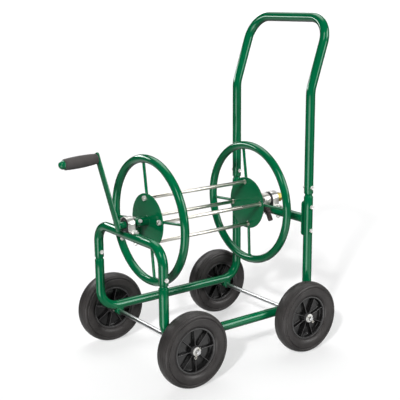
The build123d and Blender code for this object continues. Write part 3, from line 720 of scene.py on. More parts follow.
# ------------------------------------------------------------------ axles, blocks, washers, pins
s_block, s_space, s_wash, s_pin = Shape(), Shape(), Shape(), Shape()
for i, x in enumerate(AXLE_X):
    s = Shape()
    prof = soft([(0, -228.5), (AXLE_R - 1, -228.5), (AXLE_R, -227.5), (AXLE_R, 227.5), (AXLE_R - 1, 228.5), (0, 228.5)], [0, 0.3, 0.3, 0.3, 0.3, 0], n=2)
    lathe(s, prof, (x, 0, 100.0), (0, 1, 0), 32)
    name = "front_axle" if i == 0 else "rear_axle"
    emit(s, "v_" + name, "frame", "zinc", [name], look="zinc_grey")
    for sg in (-1, 1):
        # axle block: round under the axle, flaring up to the underside of the tube
        def under(yy):
            return BASE_Z - 100.0 - sqrt(R_OUT ** 2 - yy ** 2)

        def flare(zz):
            return 8.9 + (zz + 2.0) * 2.6 / 16.0

        ph = np.linspace(0, 2 * pi, 97)[:-1]
        rows = []
        for yy, inset in ((-11.0, 0.9), (-10.8, 0.4), (-10.3, 0.0), (-7.0, 0.0), (-3.5, 0.0), (0.0, 0.0), (3.5, 0.0), (7.0, 0.0), (10.3, 0.0), (10.8, 0.4), (11.0, 0.9)):
            top, row = under(yy) + 0.1, []
            for a in ph:
                ca, sa = cos(a), sin(a)
                q = AXLE_R + 3.2
                if sa > -0.2:
                    e = (8.9 + 0.325) / max(abs(ca) - 0.1625 * sa, 1e-6) if abs(ca) > 0.1625 * sa else 1e6
                    e = min(e, top / sa if sa > 1e-6 else 1e6)
                    q = max(q, e) if top / max(sa, 1e-6) > q or sa <= 0 else min(q, top / sa)
                q = max(q - inset, AXLE_R + 0.1)
                row.append((x + q * ca, sg * SIDE_Y + yy, 100.0 + q * sa))
            rows.append(row)
        for yy in (11.0, -11.0):
            rows.append([(x + (AXLE_R + 0.03) * cos(a), sg * SIDE_Y + yy, 100.0 + (AXLE_R + 0.03) * sin(a)) for a in ph])
        s_block.grid(np.array(rows), closed_u=True)
        for e in (-1, 1):
            # beads along both flanks and both ends where the block meets the round of the tube
            ys = np.linspace(-10.6, 10.6, 22)
            bead(s_block, [(x + e * (flare(under(yy)) + 0.1), sg * SIDE_Y + yy, 100.0 + under(yy) - 0.2) for yy in ys], [(e, 0, -1)] * 22, 1.5, 1.6, closed=False, seed=i + e + sg)
            zz = under(11.0)
            xs = np.linspace(-flare(zz), flare(zz), 22)
            bead(s_block, [(x + q, sg * SIDE_Y + e * 11.1, 100.0 + zz - 0.2) for q in xs], [(0, e, -1)] * 22, 1.5, 1.6, closed=False, seed=2 * i + e - sg)
        prof = soft([(AXLE_R + 0.1, 0), (9.0, 0), (9.0, 14.6), (AXLE_R + 0.1, 14.6)], 0.6, closed=True, n=3)
        lathe(s_space, prof, (x, sg * 169.05, 100.0), (0, sg, 0), 40, closed=True)
        washer(s_wash, (x, sg * 218.3, 100.0), (0, sg, 0), 2.0, 11.5, AXLE_R + 0.2)
        # split pin: one wire, legs through the axle, eye outside, tips spread
        turn = {(-1, 0): 205.0, (-1, 1): 138.0, (1, 0): 40.0, (1, 1): 250.0}[(sg, i)]
        d = np.array([sin(radians(turn)), 0, cos(radians(turn))])
        side = np.cross(d, (0, 1.0, 0))
        c = np.array([x, sg * 222.7, 100.0])
        flat = [(-13.2, 3.5, 0), (-9.0, 0.87, 0), (8.0, 0.87, 0), (11.6, 0.9, 0)]
        flat += [(15.0 + 3.3 * cos(a), 3.3 * sin(a), 0) for a in np.linspace(2.75, -2.75, 23)]
        flat += [(11.6, -0.9, 0), (8.0, -0.87, 0), (-9.0, -0.87, 0), (-12.4, -3.0, 0)]
        pts = [c + d * u + side * v for u, v, _ in flat]
        fine = []
        for a, b in zip(pts[:-1], pts[1:]):
            n = max(1, int(np.linalg.norm(b - a) / 1.2))
            fine += [a + (b - a) * k / n for k in range(n)]
        fine.append(pts[-1])
        fine = np.array(fine)
        for _ in range(2):
            fine[1:-1] = (fine[:-2] + 2 * fine[1:-1] + fine[2:]) / 4
        tg = np.gradient(fine, axis=0)
        rr = np.full(len(fine), 0.84)
        rr[0] = rr[-1] = 0.45
        rod(s_pin, list(zip(fine, tg)), rr, 12, hint=(0, 1, 0))
emit(s_block, "v_axle_blocks", "frame", "green_paint", ["axle_blocks"])
emit(s_space, "v_axle_spacers", "frame", "zinc", ["axle_spacers"])
emit(s_wash, "v_axle_washers", "frame", "zinc", ["axle_washers"], look="zinc_white")
emit(s_pin, "v_split_pins", "frame", "zinc", ["split_pins"], sharp=60)

# ------------------------------------------------------------------ wheels
half = [(62.02, 13.0), (62.02, 15.2), (62.5, 16.2), (63.6, 17.4), (65.2, 18.8), (67.4, 20.2), (70.0, 21.2), (73.0, 21.8), (77.0, 22.1), (82.0, 22.3),
        (85.2, 22.4), (86.0, 22.0), (86.6, 20.6), (87.1, 20.2), (87.6, 20.6), (88.3, 21.8), (89.2, 22.15), (91.2, 22.0), (92.8, 21.4), (94.2, 20.5),
        (95.3, 19.3), (96.1, 18.0), (96.7, 16.6), (97.0, 15.7), (96.95, 15.3), (96.55, 14.9), (96.65, 14.4), (97.3, 14.1), (97.75, 13.5),
        (98.4, 11.5), (99.0, 9.0), (99.45, 6.0), (99.75, 3.0), (99.84, 0.7), (99.98, 0.35), (99.98, 0.0)]
TYRE = half + [(r, -h) for r, h in half[-2::-1]]
for fn, x in zip(("front", "rear"), AXLE_X):
    for sn, sg in (("left", -1), ("right", 1)):
        s = Shape()
        centre = (x, sg * WHEEL_Y, WHEEL_R)
        lathe(s, TYRE, centre, (0, 1, 0), 144, closed=True)
        body = f"wheel_{fn}_{sn}"
        emit(s, f"v_tyre_{fn}_{sn}", body, "tyre_rubber", [f"tyre_{fn}_{sn}"], sharp=50, origin=centre)

# wheel centre: eight ribs over a thin web, one closed moulded skin
RIB_D = [0.0, 0.55, 0.82, 0.98, 1.04, 1.30, 1.42, 1.75, 2.35]
RIB_H = [12.0, 12.0, 11.86, 11.5, 11.2, 3.4, 2.75, 2.35, 2.2]
ROWS = [6.08, 6.09, 6.7, 9.0, 9.25, 9.9, 10.15, 12.7, 13.45, 13.9, 14.05, 14.75, 15.0, 15.8, 17.2, 20.0, 26.0, 33.0, 40.0, 46.0, 50.5, 53.2, 54.4, 54.9, 55.25, 56.55, 56.75, 57.15, 57.9, 60.9, 61.55, 61.85, 62.0]


def rim_skin(r):
    """Height of hub, web, well wall and lip at radius r, ribs left out."""
    return float(np.interp(r, [6.08, 6.09, 6.7, 9.0, 9.25, 9.9, 10.15, 12.7, 13.45, 13.9, 14.05, 14.75, 15.0, 15.8, 17.2, 53.2, 54.4, 54.9, 55.25, 56.55, 56.75, 57.15, 57.9, 60.9, 61.55, 61.85, 62.0],
                           [16.3, 16.4, 17.0, 17.0, 16.7, 16.7, 17.0, 17.0, 16.8, 16.2, 15.6, 3.4, 2.7, 2.35, 2.2, 2.2, 2.45, 2.9, 3.8, 13.4, 14.1, 14.7, 15.0, 15.0, 14.8, 14.4, 13.9]))


def rim_grid(s, centre, first, side):
    cols = []
    step = 2 * pi / 8
    for k in range(8):
        a0 = radians(first) + k * step
        cols += [(a0, d, 1, h) for d, h in zip(RIB_D, RIB_H)]
        cols += [(a0, q, 0, 2.2) for q in (0.25, 0.5, 0.75)]
        cols += [(a0 + step, -d, 1, h) for d, h in list(zip(RIB_D, RIB_H))[:0:-1]]
    g = []
    for r in ROWS:
        row = []
        dm = RIB_D[-1]
        for a, d, kind, h in cols:
            if kind:
                q = a + asin(max(-1, min(1, d / max(r, 6.08))))
                top = max(rim_skin(r), h if 13.0 < r < 57.0 else 0.0)
            else:
                w = asin(dm / max(r, 6.08))
                q = a + w + (step - 2 * w) * d
                top = rim_skin(r)
            row.append((centre[0] + r * cos(q), centre[1] + side * top, centre[2] + r * sin(q)))
        g.append(row)
    return g


for fn, x in zip(("front", "rear"), AXLE_X):
    for sn, sg in (("left", -1), ("right", 1)):
        s = Shape()
        centre = (x, sg * WHEEL_Y, WHEEL_R)
        up = rim_grid(s, centre, RIB_ANGLE[f"{fn}_{sn}"], 1)
        dn = rim_grid(s, centre, RIB_ANGLE[f"{fn}_{sn}"], -1)
        s.grid(np.array(up + dn[::-1]), closed_u=True)
        emit(s, f"v_rim_{fn}_{sn}", f"wheel_{fn}_{sn}", "rim_plastic", [f"rim_{fn}_{sn}"], sharp=32, origin=centre)

# ------------------------------------------------------------------ saddle bearings
s_bolt, s_nut = Shape(), Shape()
for fn, x, bar_z, bx, shift in (("front", FRONT_X, HOOP_Z, (MID - 261.5, MID - 243.0), -2.5), ("rear", REAR_X, BAR_Z, (MID + 225.0, MID + 249.5), 2.0)):
    top = bar_z + R_OUT
    m = 19.3 + 0.1 + 1.05
    fz, ct = top + 1.05, 2.1
    path = [(-41.0, fz), (-m - 3.5, fz)]
    path += [(-m - 3.5 + 3.5 * sin(a), fz + 3.5 - 3.5 * cos(a)) for a in np.linspace(0, pi / 2, 8)[1:]]
    path += [(-m * cos(a), AXIS_Z + m * sin(a)) for a in np.linspace(0, pi, 49)]
    path += [(m + 3.5 - 3.5 * sin(a), fz + 3.5 - 3.5 * cos(a)) for a in np.linspace(pi / 2, 0, 8)[:-1]]
    path += [(m + 3.5, fz), (41.0, fz)]
    path = np.array(path)
    # a short extra station near each foot end gives it rounded corners
    tg = np.gradient(path, axis=0)
    tg /= np.linalg.norm(tg, axis=1)[:, None]
    tg[0] = tg[1] = (1, 0)
    tg[-1] = tg[-2] = (1, 0)
    nr = np.stack([-tg[:, 1], tg[:, 0]], 1)
    stations = [(path[0] + np.array([d, 0]), nr[0], w) for d, w in ((0.0, 15.0), (0.9, 18.0), (2.2, 20.0), (4.0, 21.0))]
    stations += [(p, n_, 21.0) for p, n_ in zip(path[1:-1], nr[1:-1])]
    stations += [(path[-1] - np.array([d, 0]), nr[-1], w) for d, w in ((4.0, 21.0), (2.2, 20.0), (0.9, 18.0), (0.0, 15.0))]
    rows = []
    for p, n_, w in stations:
        rows.append([(x + shift + a, p[0] + n_[0] * b, p[1] + n_[1] * b) for a, b in rounded_rect(w, ct, 0.75, 4)])
    s = Shape()
    s.grid(np.array(rows), cap0=True, cap1=True)
    emit(s, f"v_{fn}_saddle_clamp", "frame", "zinc", [f"{fn}_saddle_clamp"], look="zinc_bright")
    # bush: flanged ring with a stepped face, and a saddle block down to the bar
    s = Shape()
    L = bx[1] - bx[0]
    prof = soft([(9.62, 0.9), (10.6, 0.0), (12.6, 0.0), (12.9, 0.55), (15.4, 0.55), (15.7, 0.0), (18.4, 0.0), (19.25, 0.9),
                 (19.25, L - 0.9), (18.4, L), (15.7, L), (15.4, L - 0.55), (12.9, L - 0.55), (12.6, L), (10.6, L), (9.62, L - 0.9)], 0.25, closed=True, n=2)
    lathe(s, prof, (bx[0], 0, AXIS_Z), (1, 0, 0), 72, closed=True)
    xs = np.linspace(bx[0] + 2.0, bx[1] - 2.0, 29)
    lower = [bar_z + sqrt(max((R_OUT + 0.06) ** 2 - (q - x) ** 2, 0.0)) if abs(q - x) < R_OUT else top - 2.5 for q in xs]
    lower = [max(z, top - 2.5) for z in lower]
    ring_ = [(q, z) for q, z in zip(xs, lower)] + [(xs[-1], AXIS_Z - 11.0), (xs[0], AXIS_Z - 11.0)]
    rows = []
    for yy in (-12.0, 12.0):
        rows.append([(q, yy, z) for q, z in ring_])
    s.grid(np.array(rows), cap0=True, cap1=True)
    emit(s, f"v_{fn}_bearing_bush", "frame", "black_plastic", [f"{fn}_bearing_bush"])
    for k, y in enumerate((-33.0, 33.0)):
        bolt(s_bolt, (x, y, top + ct), (0, 0, 1), ct + 2 * R_OUT + 8.0, turn=0.3 + 0.5 * k)
        nut(s_nut, (x, y, bar_z - R_OUT), (0, 0, -1), turn=0.2 + 0.4 * k)
emit(s_bolt, "v_saddle_bolts", "frame", "zinc", ["saddle_bolts"], look="zinc_white")
emit(s_nut, "v_saddle_nuts", "frame", "zinc", ["saddle_nuts"], look="zinc_white")

# ------------------------------------------------------------------ frame bolts
for key, x, z in (("hoop", FRONT_X, 286.0), ("handle", REAR_X, 455.0)):
    a, b = Shape(), Shape()
    for k, y in enumerate((-SIDE_Y, SIDE_Y)):
        bolt(a, (x, y - R_OUT, z), (0, -1, 0), 2 * R_OUT + 8.0, turn=0.25 + 0.6 * k)
        nut(b, (x, y + R_OUT, z), (0, 1, 0), turn=0.5 * k)
    emit(a, f"v_{key}_bolts", "frame", "zinc", [f"{key}_bolts"], look="zinc_white")
    emit(b, f"v_{key}_nuts", "frame", "zinc", [f"{key}_nuts"], look="zinc_white")
a, b = Shape(), Shape()
for sg in (-1, 1):
    for k, z in enumerate((333.0, 400.0)):
        bolt(a, (REAR_X, sg * (SIDE_Y + R_OUT), z), (0, sg, 0), 2 * R_OUT + 11.0, turn=0.2 + 0.4 * k)
        nut(b, (REAR_X, sg * PLATE_IN_Y, z), (0, -sg, 0), turn=0.7 * k)
emit(a, "v_crossbar_bolts", "frame", "zinc", ["crossbar_bolts"], look="zinc_white")
emit(b, "v_crossbar_nuts", "frame", "zinc", ["crossbar_nuts"], look="zinc_white")


# ------------------------------------------------------------------ reel
def polar(r, turn):
    return r * sin(radians(turn)), AXIS_Z + r * cos(radians(turn))


s_rods, s_wash, s_nut, s_hb, s_hn = Shape(), Shape(), {0: Shape(), 1: Shape()}, Shape(), Shape()
for i, fn in enumerate(("front", "rear")):
    rx, sx, dx = RING_X[i], SPOKE_X[i], DISC_X[i]
    # ring tube with its butt weld, flash ground nearly flush
    s = Shape()
    th = np.arange(192) * 2 * pi / 192
    c = np.stack([np.full(192, rx), RING_R * np.sin(th), AXIS_Z + RING_R * np.cos(th)], 1)
    nrm = np.stack([np.zeros(192), np.sin(th), np.cos(th)], 1)
    seam = radians(212.0)
    w = np.abs((th - seam + pi) % (2 * pi) - pi) * RING_R
    loop_tube(s, c, RING_r + 0.16 * np.exp(-(w / 2.6) ** 2), nrm, 36)
    emit(s, f"v_reel_ring_{fn}", "reel", "green_paint", [f"reel_ring_{fn}"])
    # spokes: round bar, outer end on the ring, inner end on the disc, welded at both
    s = Shape()
    for t_ in SPOKE_TURN[i]:
        er = np.array([0, sin(radians(t_)), cos(radians(t_))])
        et = np.array([0, cos(radians(t_)), -sin(radians(t_))])
        ax = np.array([1.0, 0, 0])
        o = np.array([sx, 0, AXIS_Z])
        ra, rb = 69.0, RING_R - 8.5
        st = [(o + er * r, er) for r in (ra, ra + 0.5, ra + 1.2, 80.0, 110.0, rb - 8, rb)]
        rod(s, st, [3.0, 3.7, 4.0, 4.0, 4.0, 4.0, 4.0], 28, hint=ax)
        ph = np.arange(48) * 2 * pi / 48
        off = sx - rx
        pts, nrm = [], []
        for p in ph:
            a, b = 4.35 * cos(p), 4.35 * sin(p)
            q = RING_R - sqrt(RING_r ** 2 - (b + off) ** 2)
            pts.append(o + er * (q - 0.15) + et * a + ax * b)
            nrm.append(et * cos(p) + ax * sin(p) - er)
        bead(s, pts, nrm, 1.45, 1.7, True, seed=t_)
        fx = dx + DISC_T                         # spokes lie on the disc's +X face on both ends
        pts, nrm = [], []
        for k in range(25):
            a = pi * k / 24
            u, v = 71.2 - 3.6 * sin(a), 3.7 * cos(a)
            pts.append(np.array([fx + 0.45, 0, AXIS_Z]) + er * u + et * v)
            nrm.append(er * -sin(a) + et * cos(a) + ax)
        pts = [pts[0] + er * 2.0] + pts + [pts[-1] + er * 2.0]
        nrm = [nrm[0]] + nrm + [nrm[-1]]
        bead(s, pts, nrm, 1.25, 1.5, False, seed=t_ + 1)
    emit(s, f"v_spokes_{fn}", "reel", "green_paint", [f"spokes_{fn}"])
    # disc: pressed plate with a rolled rim
    s = Shape()
    bore = 9.6 if i == 0 else 0.0
    prof = soft([(bore, 0), (DISC_R, 0), (DISC_R, DISC_T), (bore, DISC_T)], [0, 0.9, 0.9, 0], n=4)
    lathe(s, prof, (dx, 0, AXIS_Z), (1, 0, 0), 120, closed=i == 0)
    emit(s, f"v_disc_{fn}", "reel", "green_paint", [f"disc_{fn}"])
    h0, h1 = (dx - 40.0, dx) if i == 0 else (dx + DISC_T, dx + DISC_T + 40.0)
    bx = MID - 221.5 if i == 0 else h1 - 10.5
    s = Shape()
    prof = soft([(9.6, h0), (12.5, h0), (12.5, h1), (9.6, h1)], [0.4, 0.9, 0.4, 0.4] if i == 0 else [0.4, 0.4, 0.9, 0.4], closed=True, n=3)
    lathe(s, prof, (0, 0, AXIS_Z), (1, 0, 0), 56, closed=True)
    wx = h1 - 0.8 if i == 0 else h0 + 0.8
    weld_ring(s, (wx, 0, AXIS_Z), (1, 0, 0), 13.1, 1.8, 1.9, seed=i)
    emit(s, f"v_hub_sleeve_{fn}", "reel", "green_paint", [f"hub_sleeve_{fn}"])
    q = ARM_ANGLE if i == 0 else 0.0
    hd = np.array([0, -cos(q), sin(q)])
    bolt(s_hb, np.array([bx, 0, AXIS_Z]) + 12.5 * hd, hd, 33.0, turn=0.3)
    nut(s_hn, np.array([bx, 0, AXIS_Z]) - 12.5 * hd, -hd, turn=0.1)
    for k, t_ in enumerate(TURNS):
        y, z = polar(ROD_R, t_)
        if i == 0:
            washer(s_wash, (dx + DISC_T, y, z), (1, 0, 0), 1.6, 7.0, 4.15, seg=40)
            nut(s_nut[0], (dx, y, z), (-1, 0, 0), 6.5, 8.0, 13.0, turn=0.35 + 0.8 * k)
        else:
            washer(s_wash, (dx, y, z), (-1, 0, 0), 1.6, 7.0, 4.15, seg=40)
            nut(s_nut[1], (dx + DISC_T, y, z), (1, 0, 0), 6.5, 8.0, 13.0, turn=0.15 + 0.7 * k)
a, b = DISC_X[0] + DISC_T + 1.6, DISC_X[1] - 1.6
e0, e1 = DISC_X[0] - 8.0, DISC_X[1] + DISC_T + 8.0
for t_ in TURNS:
    y, z = polar(ROD_R, t_)
    mid = (a + b) / 2
    # from the middle to each end: bar, shoulder, thread
    for sgn, end, sh in ((-1, e0, a), (1, e1, b)):
        L, Ls = abs(end - mid), abs(sh - mid)
        rows = [(0.0, 5.0), (Ls - 0.5, 5.0), (Ls - 0.1, 4.75), (Ls, 4.5), (Ls, 3.98)]
        rows = [(h, np.full(48, r)) for h, r in rows] + thread_rows(3.98, Ls + 0.4, L, 1.25, 0.6, 0.9)
        stack(s_rods, rows, (mid, y, z), (sgn, 0, 0), (0, 0, 1), end_point=True)
emit(s_rods, "v_tie_rods", "reel", "zinc", ["tie_rods"])
emit(s_wash, "v_tie_rod_washers", "reel", "zinc", ["tie_rod_washers"])
emit(s_nut[0], "v_tie_rod_nuts_front", "reel", "zinc", ["tie_rod_nuts_front"], look="zinc_white")
emit(s_nut[1], "v_tie_rod_nuts_rear", "reel", "zinc", ["tie_rod_nuts_rear"], look="zinc_white")
emit(s_hb, "v_hub_bolts", "reel", "zinc", ["hub_bolts"], look="zinc_white")
emit(s_hn, "v_hub_nuts", "reel", "zinc", ["hub_nuts"], look="zinc_white")

# ------------------------------------------------------------------ crank
s = Shape()
x0, x1 = ARM_X[1] + 0.05, DISC_X[0] + DISC_T
prof = soft([(7.5, x0), (9.5, x0), (9.5, x1), (7.5, x1)], 0.4, closed=True, n=3)
lathe(s, prof, (0, 0, AXIS_Z), (1, 0, 0), 56, closed=True)
weld_ring(s, (ARM_X[1] + 0.6, 0, AXIS_Z), (1, 0, 0), 9.9, 1.5, 1.7)
emit(s, "v_crank_shaft", "reel", "green_paint", ["crank_shaft"])
s = Shape()
ey, ez = sin(ARM_ANGLE), cos(ARM_ANGLE)
along, across = np.array([0, ey, ez]), np.array([0, ez, -ey])
mid = (ARM_R + ARM_TIP - ARM_TAIL) / 2
slab(s, rounded_rect(ARM_W, ARM_R + ARM_TIP + ARM_TAIL, 8.0, 10), ARM_X[1] - ARM_X[0], 0.9,
     np.array([ARM_X[1], 0, AXIS_Z]) + along * mid, across, -along)
emit(s, "v_crank_arm", "reel", "green_paint", ["crank_arm"])
root = np.array([ARM_X[0], 0, AXIS_Z]) + along * ARM_R
u = np.array([-cos(TILT), 0, -sin(TILT)])
s = Shape()
prof = soft([(6.0, -0.3), (8.0, -0.3), (8.0, 96.85), (6.0, 96.85)], 0.3, closed=True, n=2)
lathe(s, prof, root, u, 48, closed=True)
emit(s, "v_grip_spindle", "reel", "green_paint", ["grip_spindle"])
s = Shape()
q = 96.82
CR = 11.6
tip = (111.5 - CR) / cos(TILT) + CR
d0 = tip - q - CR
prof = [(0.0, 0.0)] + soft([(6.0, 0.0), (CR + 0.8, 0.0), (CR + 0.8, 1.4), (CR, 2.1), (CR, d0)], [0, 0.5, 0.3, 0.2, 0], n=3)
prof += [(CR * cos(a), d0 + CR * sin(a)) for a in np.linspace(0, pi / 2, 17)[1:-1]] + [(0.0, d0 + CR)]
lathe(s, prof, root + u * q, u, 56)
emit(s, "v_spindle_cap", "reel", "green_paint", ["spindle_cap"])
s = Shape()
# barrel: the arc through the three given radii, a fine groove near each end
za, zm, zb = 2.7, 48.75, 94.8
k = np.polyfit([za, zm, zb], [13.6, 16.2, 14.6], 2)
prof = [(8.12, 1.3), (12.1, 1.3), (12.9, 1.55), (13.4, 2.1)]
for z in np.linspace(za, zb, 61):
    dip = 0.45 * (np.exp(-((z - 7.5) / 0.6) ** 2) + np.exp(-((z - 90.2) / 0.6) ** 2))
    prof.append((np.polyval(k, z) - dip, z))
prof += [(14.4, 95.4), (13.9, 95.95), (13.1, 96.2), (8.12, 96.2)]
lathe(s, prof, root, u, 64, closed=True)
emit(s, "v_grip_sleeve", "grip", "grip_foam", ["grip_sleeve"])

# ------------------------------------------------------------------ water way
OX = MID + 210.5
od = np.array([0, -sin(radians(30.0)), -cos(radians(30.0))])
oo = np.array([OX, 0, AXIS_Z])
s = Shape()
B0, B1 = MID + 199.0, MID + 223.5
W0 = DISC_X[1] + DISC_T
prof = soft([(0, W0), (9.0, W0), (9.5, W0 + 0.5), (9.5, B0 - 2.4), (12.6, B0 - 2.4), (12.6, B0), (15.2, B0), (15.4, B0 + 0.5), (16.0, B0 + 0.5), (16.2, B0), (17.6, B0), (19.0, B0 + 1.5),
             (19.0, B0 + 5.4), (18.4, B0 + 5.9), (18.4, B0 + 6.5), (19.0, B0 + 7.0), (19.0, B1 - 1.5), (17.6, B1), (9.5, B1), (9.5, MID + 254.4), (7.0, MID + 254.4), (7.0, MID + 268.5), (6.5, MID + 269.0), (4.5, MID + 269.0),
             (4.5, OX), (0, OX)],
            [0] + [0.3] * 24 + [0], n=2)
lathe(s, prof, (0, 0, AXIS_Z), (1, 0, 0), 72)
prof = soft([(4.5, 14.0), (7.0, 14.0), (7.0, 19.2), (8.6, 19.6), (8.6, 22.0), (4.5, 22.0)], 0.3, closed=True, n=2)
lathe(s, prof, oo, od, 40, closed=True)
emit(s, "v_water_axle", "reel", "plated_brass", ["water_axle"])
s = Shape()
rows = hex_rows(19.0, 15.0, True, True)
rows = [(22.02 + z, r) for z, r in rows] + [(37.02, np.full(48, 8.6)), (39.8, np.full(48, 8.6)), (39.98, np.full(48, 8.4)), (39.98, np.full(48, 4.5)), (22.02, np.full(48, 4.5))]
stack(s, rows, oo, od, (1, 0, 0), closed=True)
emit(s, "v_outlet_union", "reel", "black_plastic", ["outlet_union"], look="brown_plastic")
s = Shape()
prof = [(4.5, 40.02), (9.2, 40.02), (9.6, 40.4), (9.6, 42.6), (9.2, 43.0), (7.0, 43.1)]
for k in range(4):
    z = 44.4 + 4.9 * k
    prof += [(6.75, z), (7.5, z + 0.25), (7.45, z + 0.9), (6.75, z + 4.6)]
prof += [(6.6, 64.2), (6.2, 65.0), (4.9, 65.0), (4.5, 64.6)]
lathe(s, prof, oo, od, 48, closed=True)
emit(s, "v_outlet_nipple", "reel", "black_plastic", ["outlet_nipple"], look="brown_plastic")
s = Shape()
I0, I1, I2 = MID + 255.0, MID + 273.0, MID + 290.0
rows = [(z, r) for z, r in hex_rows(24.0, I1 - I0, True, True)]
rows += [(I1 - I0, np.full(48, 9.6)), (I1 - I0 + 1.0, np.full(48, 9.3)), (I1 - I0 + 1.4, np.full(48, 9.3))]
rows += thread_rows(10.45, I1 - I0 + 1.6, I2 - I0, 1.81, 1.0, 1.0)
rows += [(I2 - I0, np.full(48, 6.2)), (I2 - I0 - 0.7, np.full(48, 5.5)), (14.6, np.full(48, 5.5)), (14.6, np.full(48, 7.12)), (0.0, np.full(48, 7.12))]
stack(s, rows, (I0, 0, AXIS_Z), (1, 0, 0), (0, cos(0.5), sin(0.5)), closed=True)
emit(s, "v_inlet_swivel", "inlet", "brass", ["inlet_swivel"])
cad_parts["inlet_seal"].data.materials.clear()
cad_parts["inlet_seal"].data.materials.append(MATS["seal_rubber"])

# ------------------------------------------------------------------ floor, light, camera
me = bpy.data.meshes.new("floor")
n = 96
ringv = [(400.0 * cos(2 * pi * k / n), 400.0 * sin(2 * pi * k / n), 0.0) for k in range(n)]
me.from_pydata(ringv, [], [tuple(range(n))])
fl = bpy.data.objects.new("floor", me)
fl.visible_glossy = False
fl.visible_diffuse = False
scene.collection.objects.link(fl)
t = Tree("floor_pale")
t.set(Base_Color=t.ramp(t.noise(3.0, 3.0), [(0.3, (0.425, 0.425, 0.425)), (0.7, (0.435, 0.435, 0.435))]),
      Roughness=t.span(t.noise(20.0, 2.0), 0.3, 0.7, 0.75, 0.85), Specular_IOR_Level=0.0,
      Emission_Color=(1, 1, 1), Emission_Strength=0.555)
me.materials.append(t.mat)

# pale backdrop all round, seen only directly
me = bpy.data.meshes.new("backdrop")
rows = [radians(v) for v in (-1, 4, 10, 18, 28, 40, 54, 70, 84)]
skyv = [(40.0 * cos(e) * cos(2 * pi * k / n), 40.0 * cos(e) * sin(2 * pi * k / n), 40.0 * sin(e)) for e in rows for k in range(n)]
skyf = [(i * n + k, (i + 1) * n + k, (i + 1) * n + (k + 1) % n, i * n + (k + 1) % n) for i in range(len(rows) - 1) for k in range(n)]
me.from_pydata(skyv, [], skyf + [tuple((len(rows) - 1) * n + k for k in range(n))])
sky = bpy.data.objects.new("backdrop", me)
sky.visible_glossy = sky.visible_diffuse = sky.visible_shadow = False
scene.collection.objects.link(sky)
t = Tree("backdrop_pale")
t.set(Base_Color=t.ramp(t.noise(0.02, 3.0), [(0.3, (0.30, 0.30, 0.30)), (0.7, (0.31, 0.31, 0.31))]), Roughness=0.9, Specular_IOR_Level=0.0,
      Emission_Color=(1, 1, 1), Emission_Strength=1.0)
me.materials.append(t.mat)


def sun(name, az, el, strength, angle, floor):
    """Distant lamp on the floor only or on all but the floor: azimuth from -Y towards +X and elevation,
    degrees. Its mirror image comes from the soft boxes."""
    li = bpy.data.lights.new(name, "SUN")
    li.energy, li.angle = strength, radians(angle)
    ob = bpy.data.objects.new(name, li)
    scene.collection.objects.link(ob)
    a, e = radians(az), radians(el)
    ob.matrix_world = Vector((-sin(a) * cos(e), cos(a) * cos(e), -sin(e))).to_track_quat("-Z", "Y").to_matrix().to_4x4()
    ob.visible_glossy = False
    lit = bpy.data.collections.new(name + "_receivers")
    lit.objects.link(fl)
    ob.light_linking.receiver_collection = lit
    lit.collection_objects[0].light_linking.link_state = "INCLUDE" if floor else "EXCLUDE"


def card(name, at, to, wide, high, level):
    """Small reflector, seen only in gloss; level is its brightness."""
    li = bpy.data.lights.new(name, "AREA")
    li.shape = "RECTANGLE"
    li.size, li.size_y = wide, high
    li.energy = level * pi * wide * high
    ob = bpy.data.objects.new(name, li)
    scene.collection.objects.link(ob)
    at, to = Vector(at), Vector(to)
    ob.matrix_world = Matrix.Translation(at) @ (to - at).to_track_quat("-Z", "Y").to_matrix().to_4x4()
    ob.visible_camera = ob.visible_diffuse = False


# studio: dim room with large soft boxes, laid out by azimuth (from -Y towards +X) and elevation
world = bpy.data.worlds.new("studio")
scene.world = world
world.use_nodes = True
wt = world.node_tree
bg = wt.nodes["Background"]


def wmath(op, a, b=0.0, c=0.0):
    n = wt.nodes.new("ShaderNodeMath")
    n.operation = op
    for k, v in enumerate((a, b, c)):
        if isinstance(v, (int, float)):
            n.inputs[k].default_value = v
        else:
            wt.links.new(v, n.inputs[k])
    return n.outputs[0]


def wstep(x, a, b):
    n = wt.nodes.new("ShaderNodeMapRange")
    n.interpolation_type = "SMOOTHSTEP"
    for k, v in (("From Min", a), ("From Max", b), ("To Min", 0.0), ("To Max", 1.0)):
        n.inputs[k].default_value = v
    wt.links.new(x, n.inputs["Value"])
    return n.outputs[0]


sep = wt.nodes.new("ShaderNodeSeparateXYZ")
wt.links.new(wt.nodes.new("ShaderNodeTexCoord").outputs["Generated"], sep.inputs[0])
w_az = wmath("ARCTAN2", sep.outputs[0], wmath("MULTIPLY", sep.outputs[1], -1.0))
w_el = wmath("ARCSINE", sep.outputs[2])


def box_light(az0, half, az_soft, lo, hi, el_soft, level):
    """Soft box: azimuth centre and half width, elevation range, soft edges (degrees), brightness."""
    d = wmath("ABSOLUTE", wmath("WRAP", wmath("SUBTRACT", w_az, radians(az0)), pi, -pi))
    a = wmath("SUBTRACT", 1.0, wstep(d, radians(half), radians(half + az_soft)))
    e = wmath("MULTIPLY", wstep(w_el, radians(lo - el_soft), radians(lo)), wmath("SUBTRACT", 1.0, wstep(w_el, radians(hi), radians(hi + el_soft))))
    return wmath("MULTIPLY", wmath("MULTIPLY", a, e), level)


def dome(az0, el0, half, edge, level):
    a, e = radians(az0), radians(el0)
    n = wt.nodes.new("ShaderNodeVectorMath")
    n.operation = "DOT_PRODUCT"
    wt.links.new(sep.inputs[0].links[0].from_socket, n.inputs[0])
    n.inputs[1].default_value = (sin(a) * cos(e), -cos(a) * cos(e), sin(e))
    return wmath("MULTIPLY", wstep(n.outputs["Value"], cos(radians(half + edge)), cos(radians(half))), level)


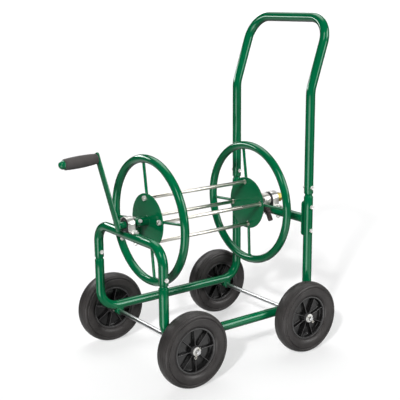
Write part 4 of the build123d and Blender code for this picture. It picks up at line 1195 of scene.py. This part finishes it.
ROOM = 0.03
LIGHTS = [dome(150, 62, 14, 16, 3.4),                      # big box high behind
          box_light(-50, 9, 6, 33, 48, 5, 6.0),            # box high left of the camera
          box_light(-63, 16, 10, -35, -8, 5, 4.4),         # pale floor left of the camera
          box_light(24, 12, 10, -40, -4, 6, 0.35),         # pale floor to the right
          box_light(-143, 15, 16, -40, -12, 8, 0.25),      # pale floor behind
          box_light(-172, 22, 14, -48, -24, 8, 0.7),       # the same, nearer
          box_light(143.6, 18, 6, -2, 10, 3, 1.15),        # backdrop
          box_light(0, 180, 1, -90, -48, 12, 0.40)]        # floor underneath
total = LIGHTS[0]
for q in LIGHTS[1:]:
    total = wmath("ADD", total, q)
total = wmath("ADD", total, ROOM)
wt.links.new(total, bg.inputs["Strength"])
bg.inputs["Color"].default_value = (1, 1, 1, 1)

sun("key", -53.6, 31.0, 3.4, 14.0, False)
sun("key_floor", -53.6, 31.0, 3.0, 4.0, True)
sun("right", 42.0, 31.0, 2.9, 12.0, False)
card("behind", (-0.35, 0.94, 0.985), (TOP_X * MM, 0, TOP_Z * MM), 0.8, 0.24, 12.0)
card("floor_near", (0.33, -0.82, 0.004), (0.33, -0.8199, 1.0), 1.0, 1.0, 0.85)
card("box_low", (1.57, -2.75, 0.87), (0.33, 0.0, 0.8), 0.6, 0.5, 12.0)
card("box_right", (4.64, -5.15, 4.0), (0, 0, 0.3), 4.6, 3.4, 6.5)
cam = bpy.data.cameras.new("camera")
cam.sensor_width, cam.sensor_height, cam.sensor_fit = 36.0, 36.0, "HORIZONTAL"
cam.lens = 78.24
cam.clip_end = 1000
co = bpy.data.objects.new("camera", cam)
scene.collection.objects.link(co)
az, el, roll = radians(-36.440), radians(13.037), radians(-0.417)
back = np.array([sin(az) * cos(el), -cos(az) * cos(el), sin(el)])
right = np.array([cos(az), sin(az), 0.0])
up = np.cross(back, right)
r2 = right * cos(roll) + up * sin(roll)
u2 = -right * sin(roll) + up * cos(roll)
mat = Matrix.Identity(4)
for k in range(3):
    mat[k][0], mat[k][1], mat[k][2] = r2[k], u2[k], back[k]
mat[0][3], mat[1][3], mat[2][3] = -1.35664, -1.86741, 0.96391
co.matrix_world = mat
scene.camera = co
scene.view_settings.view_transform = "Standard"
scene.view_settings.look = "None"
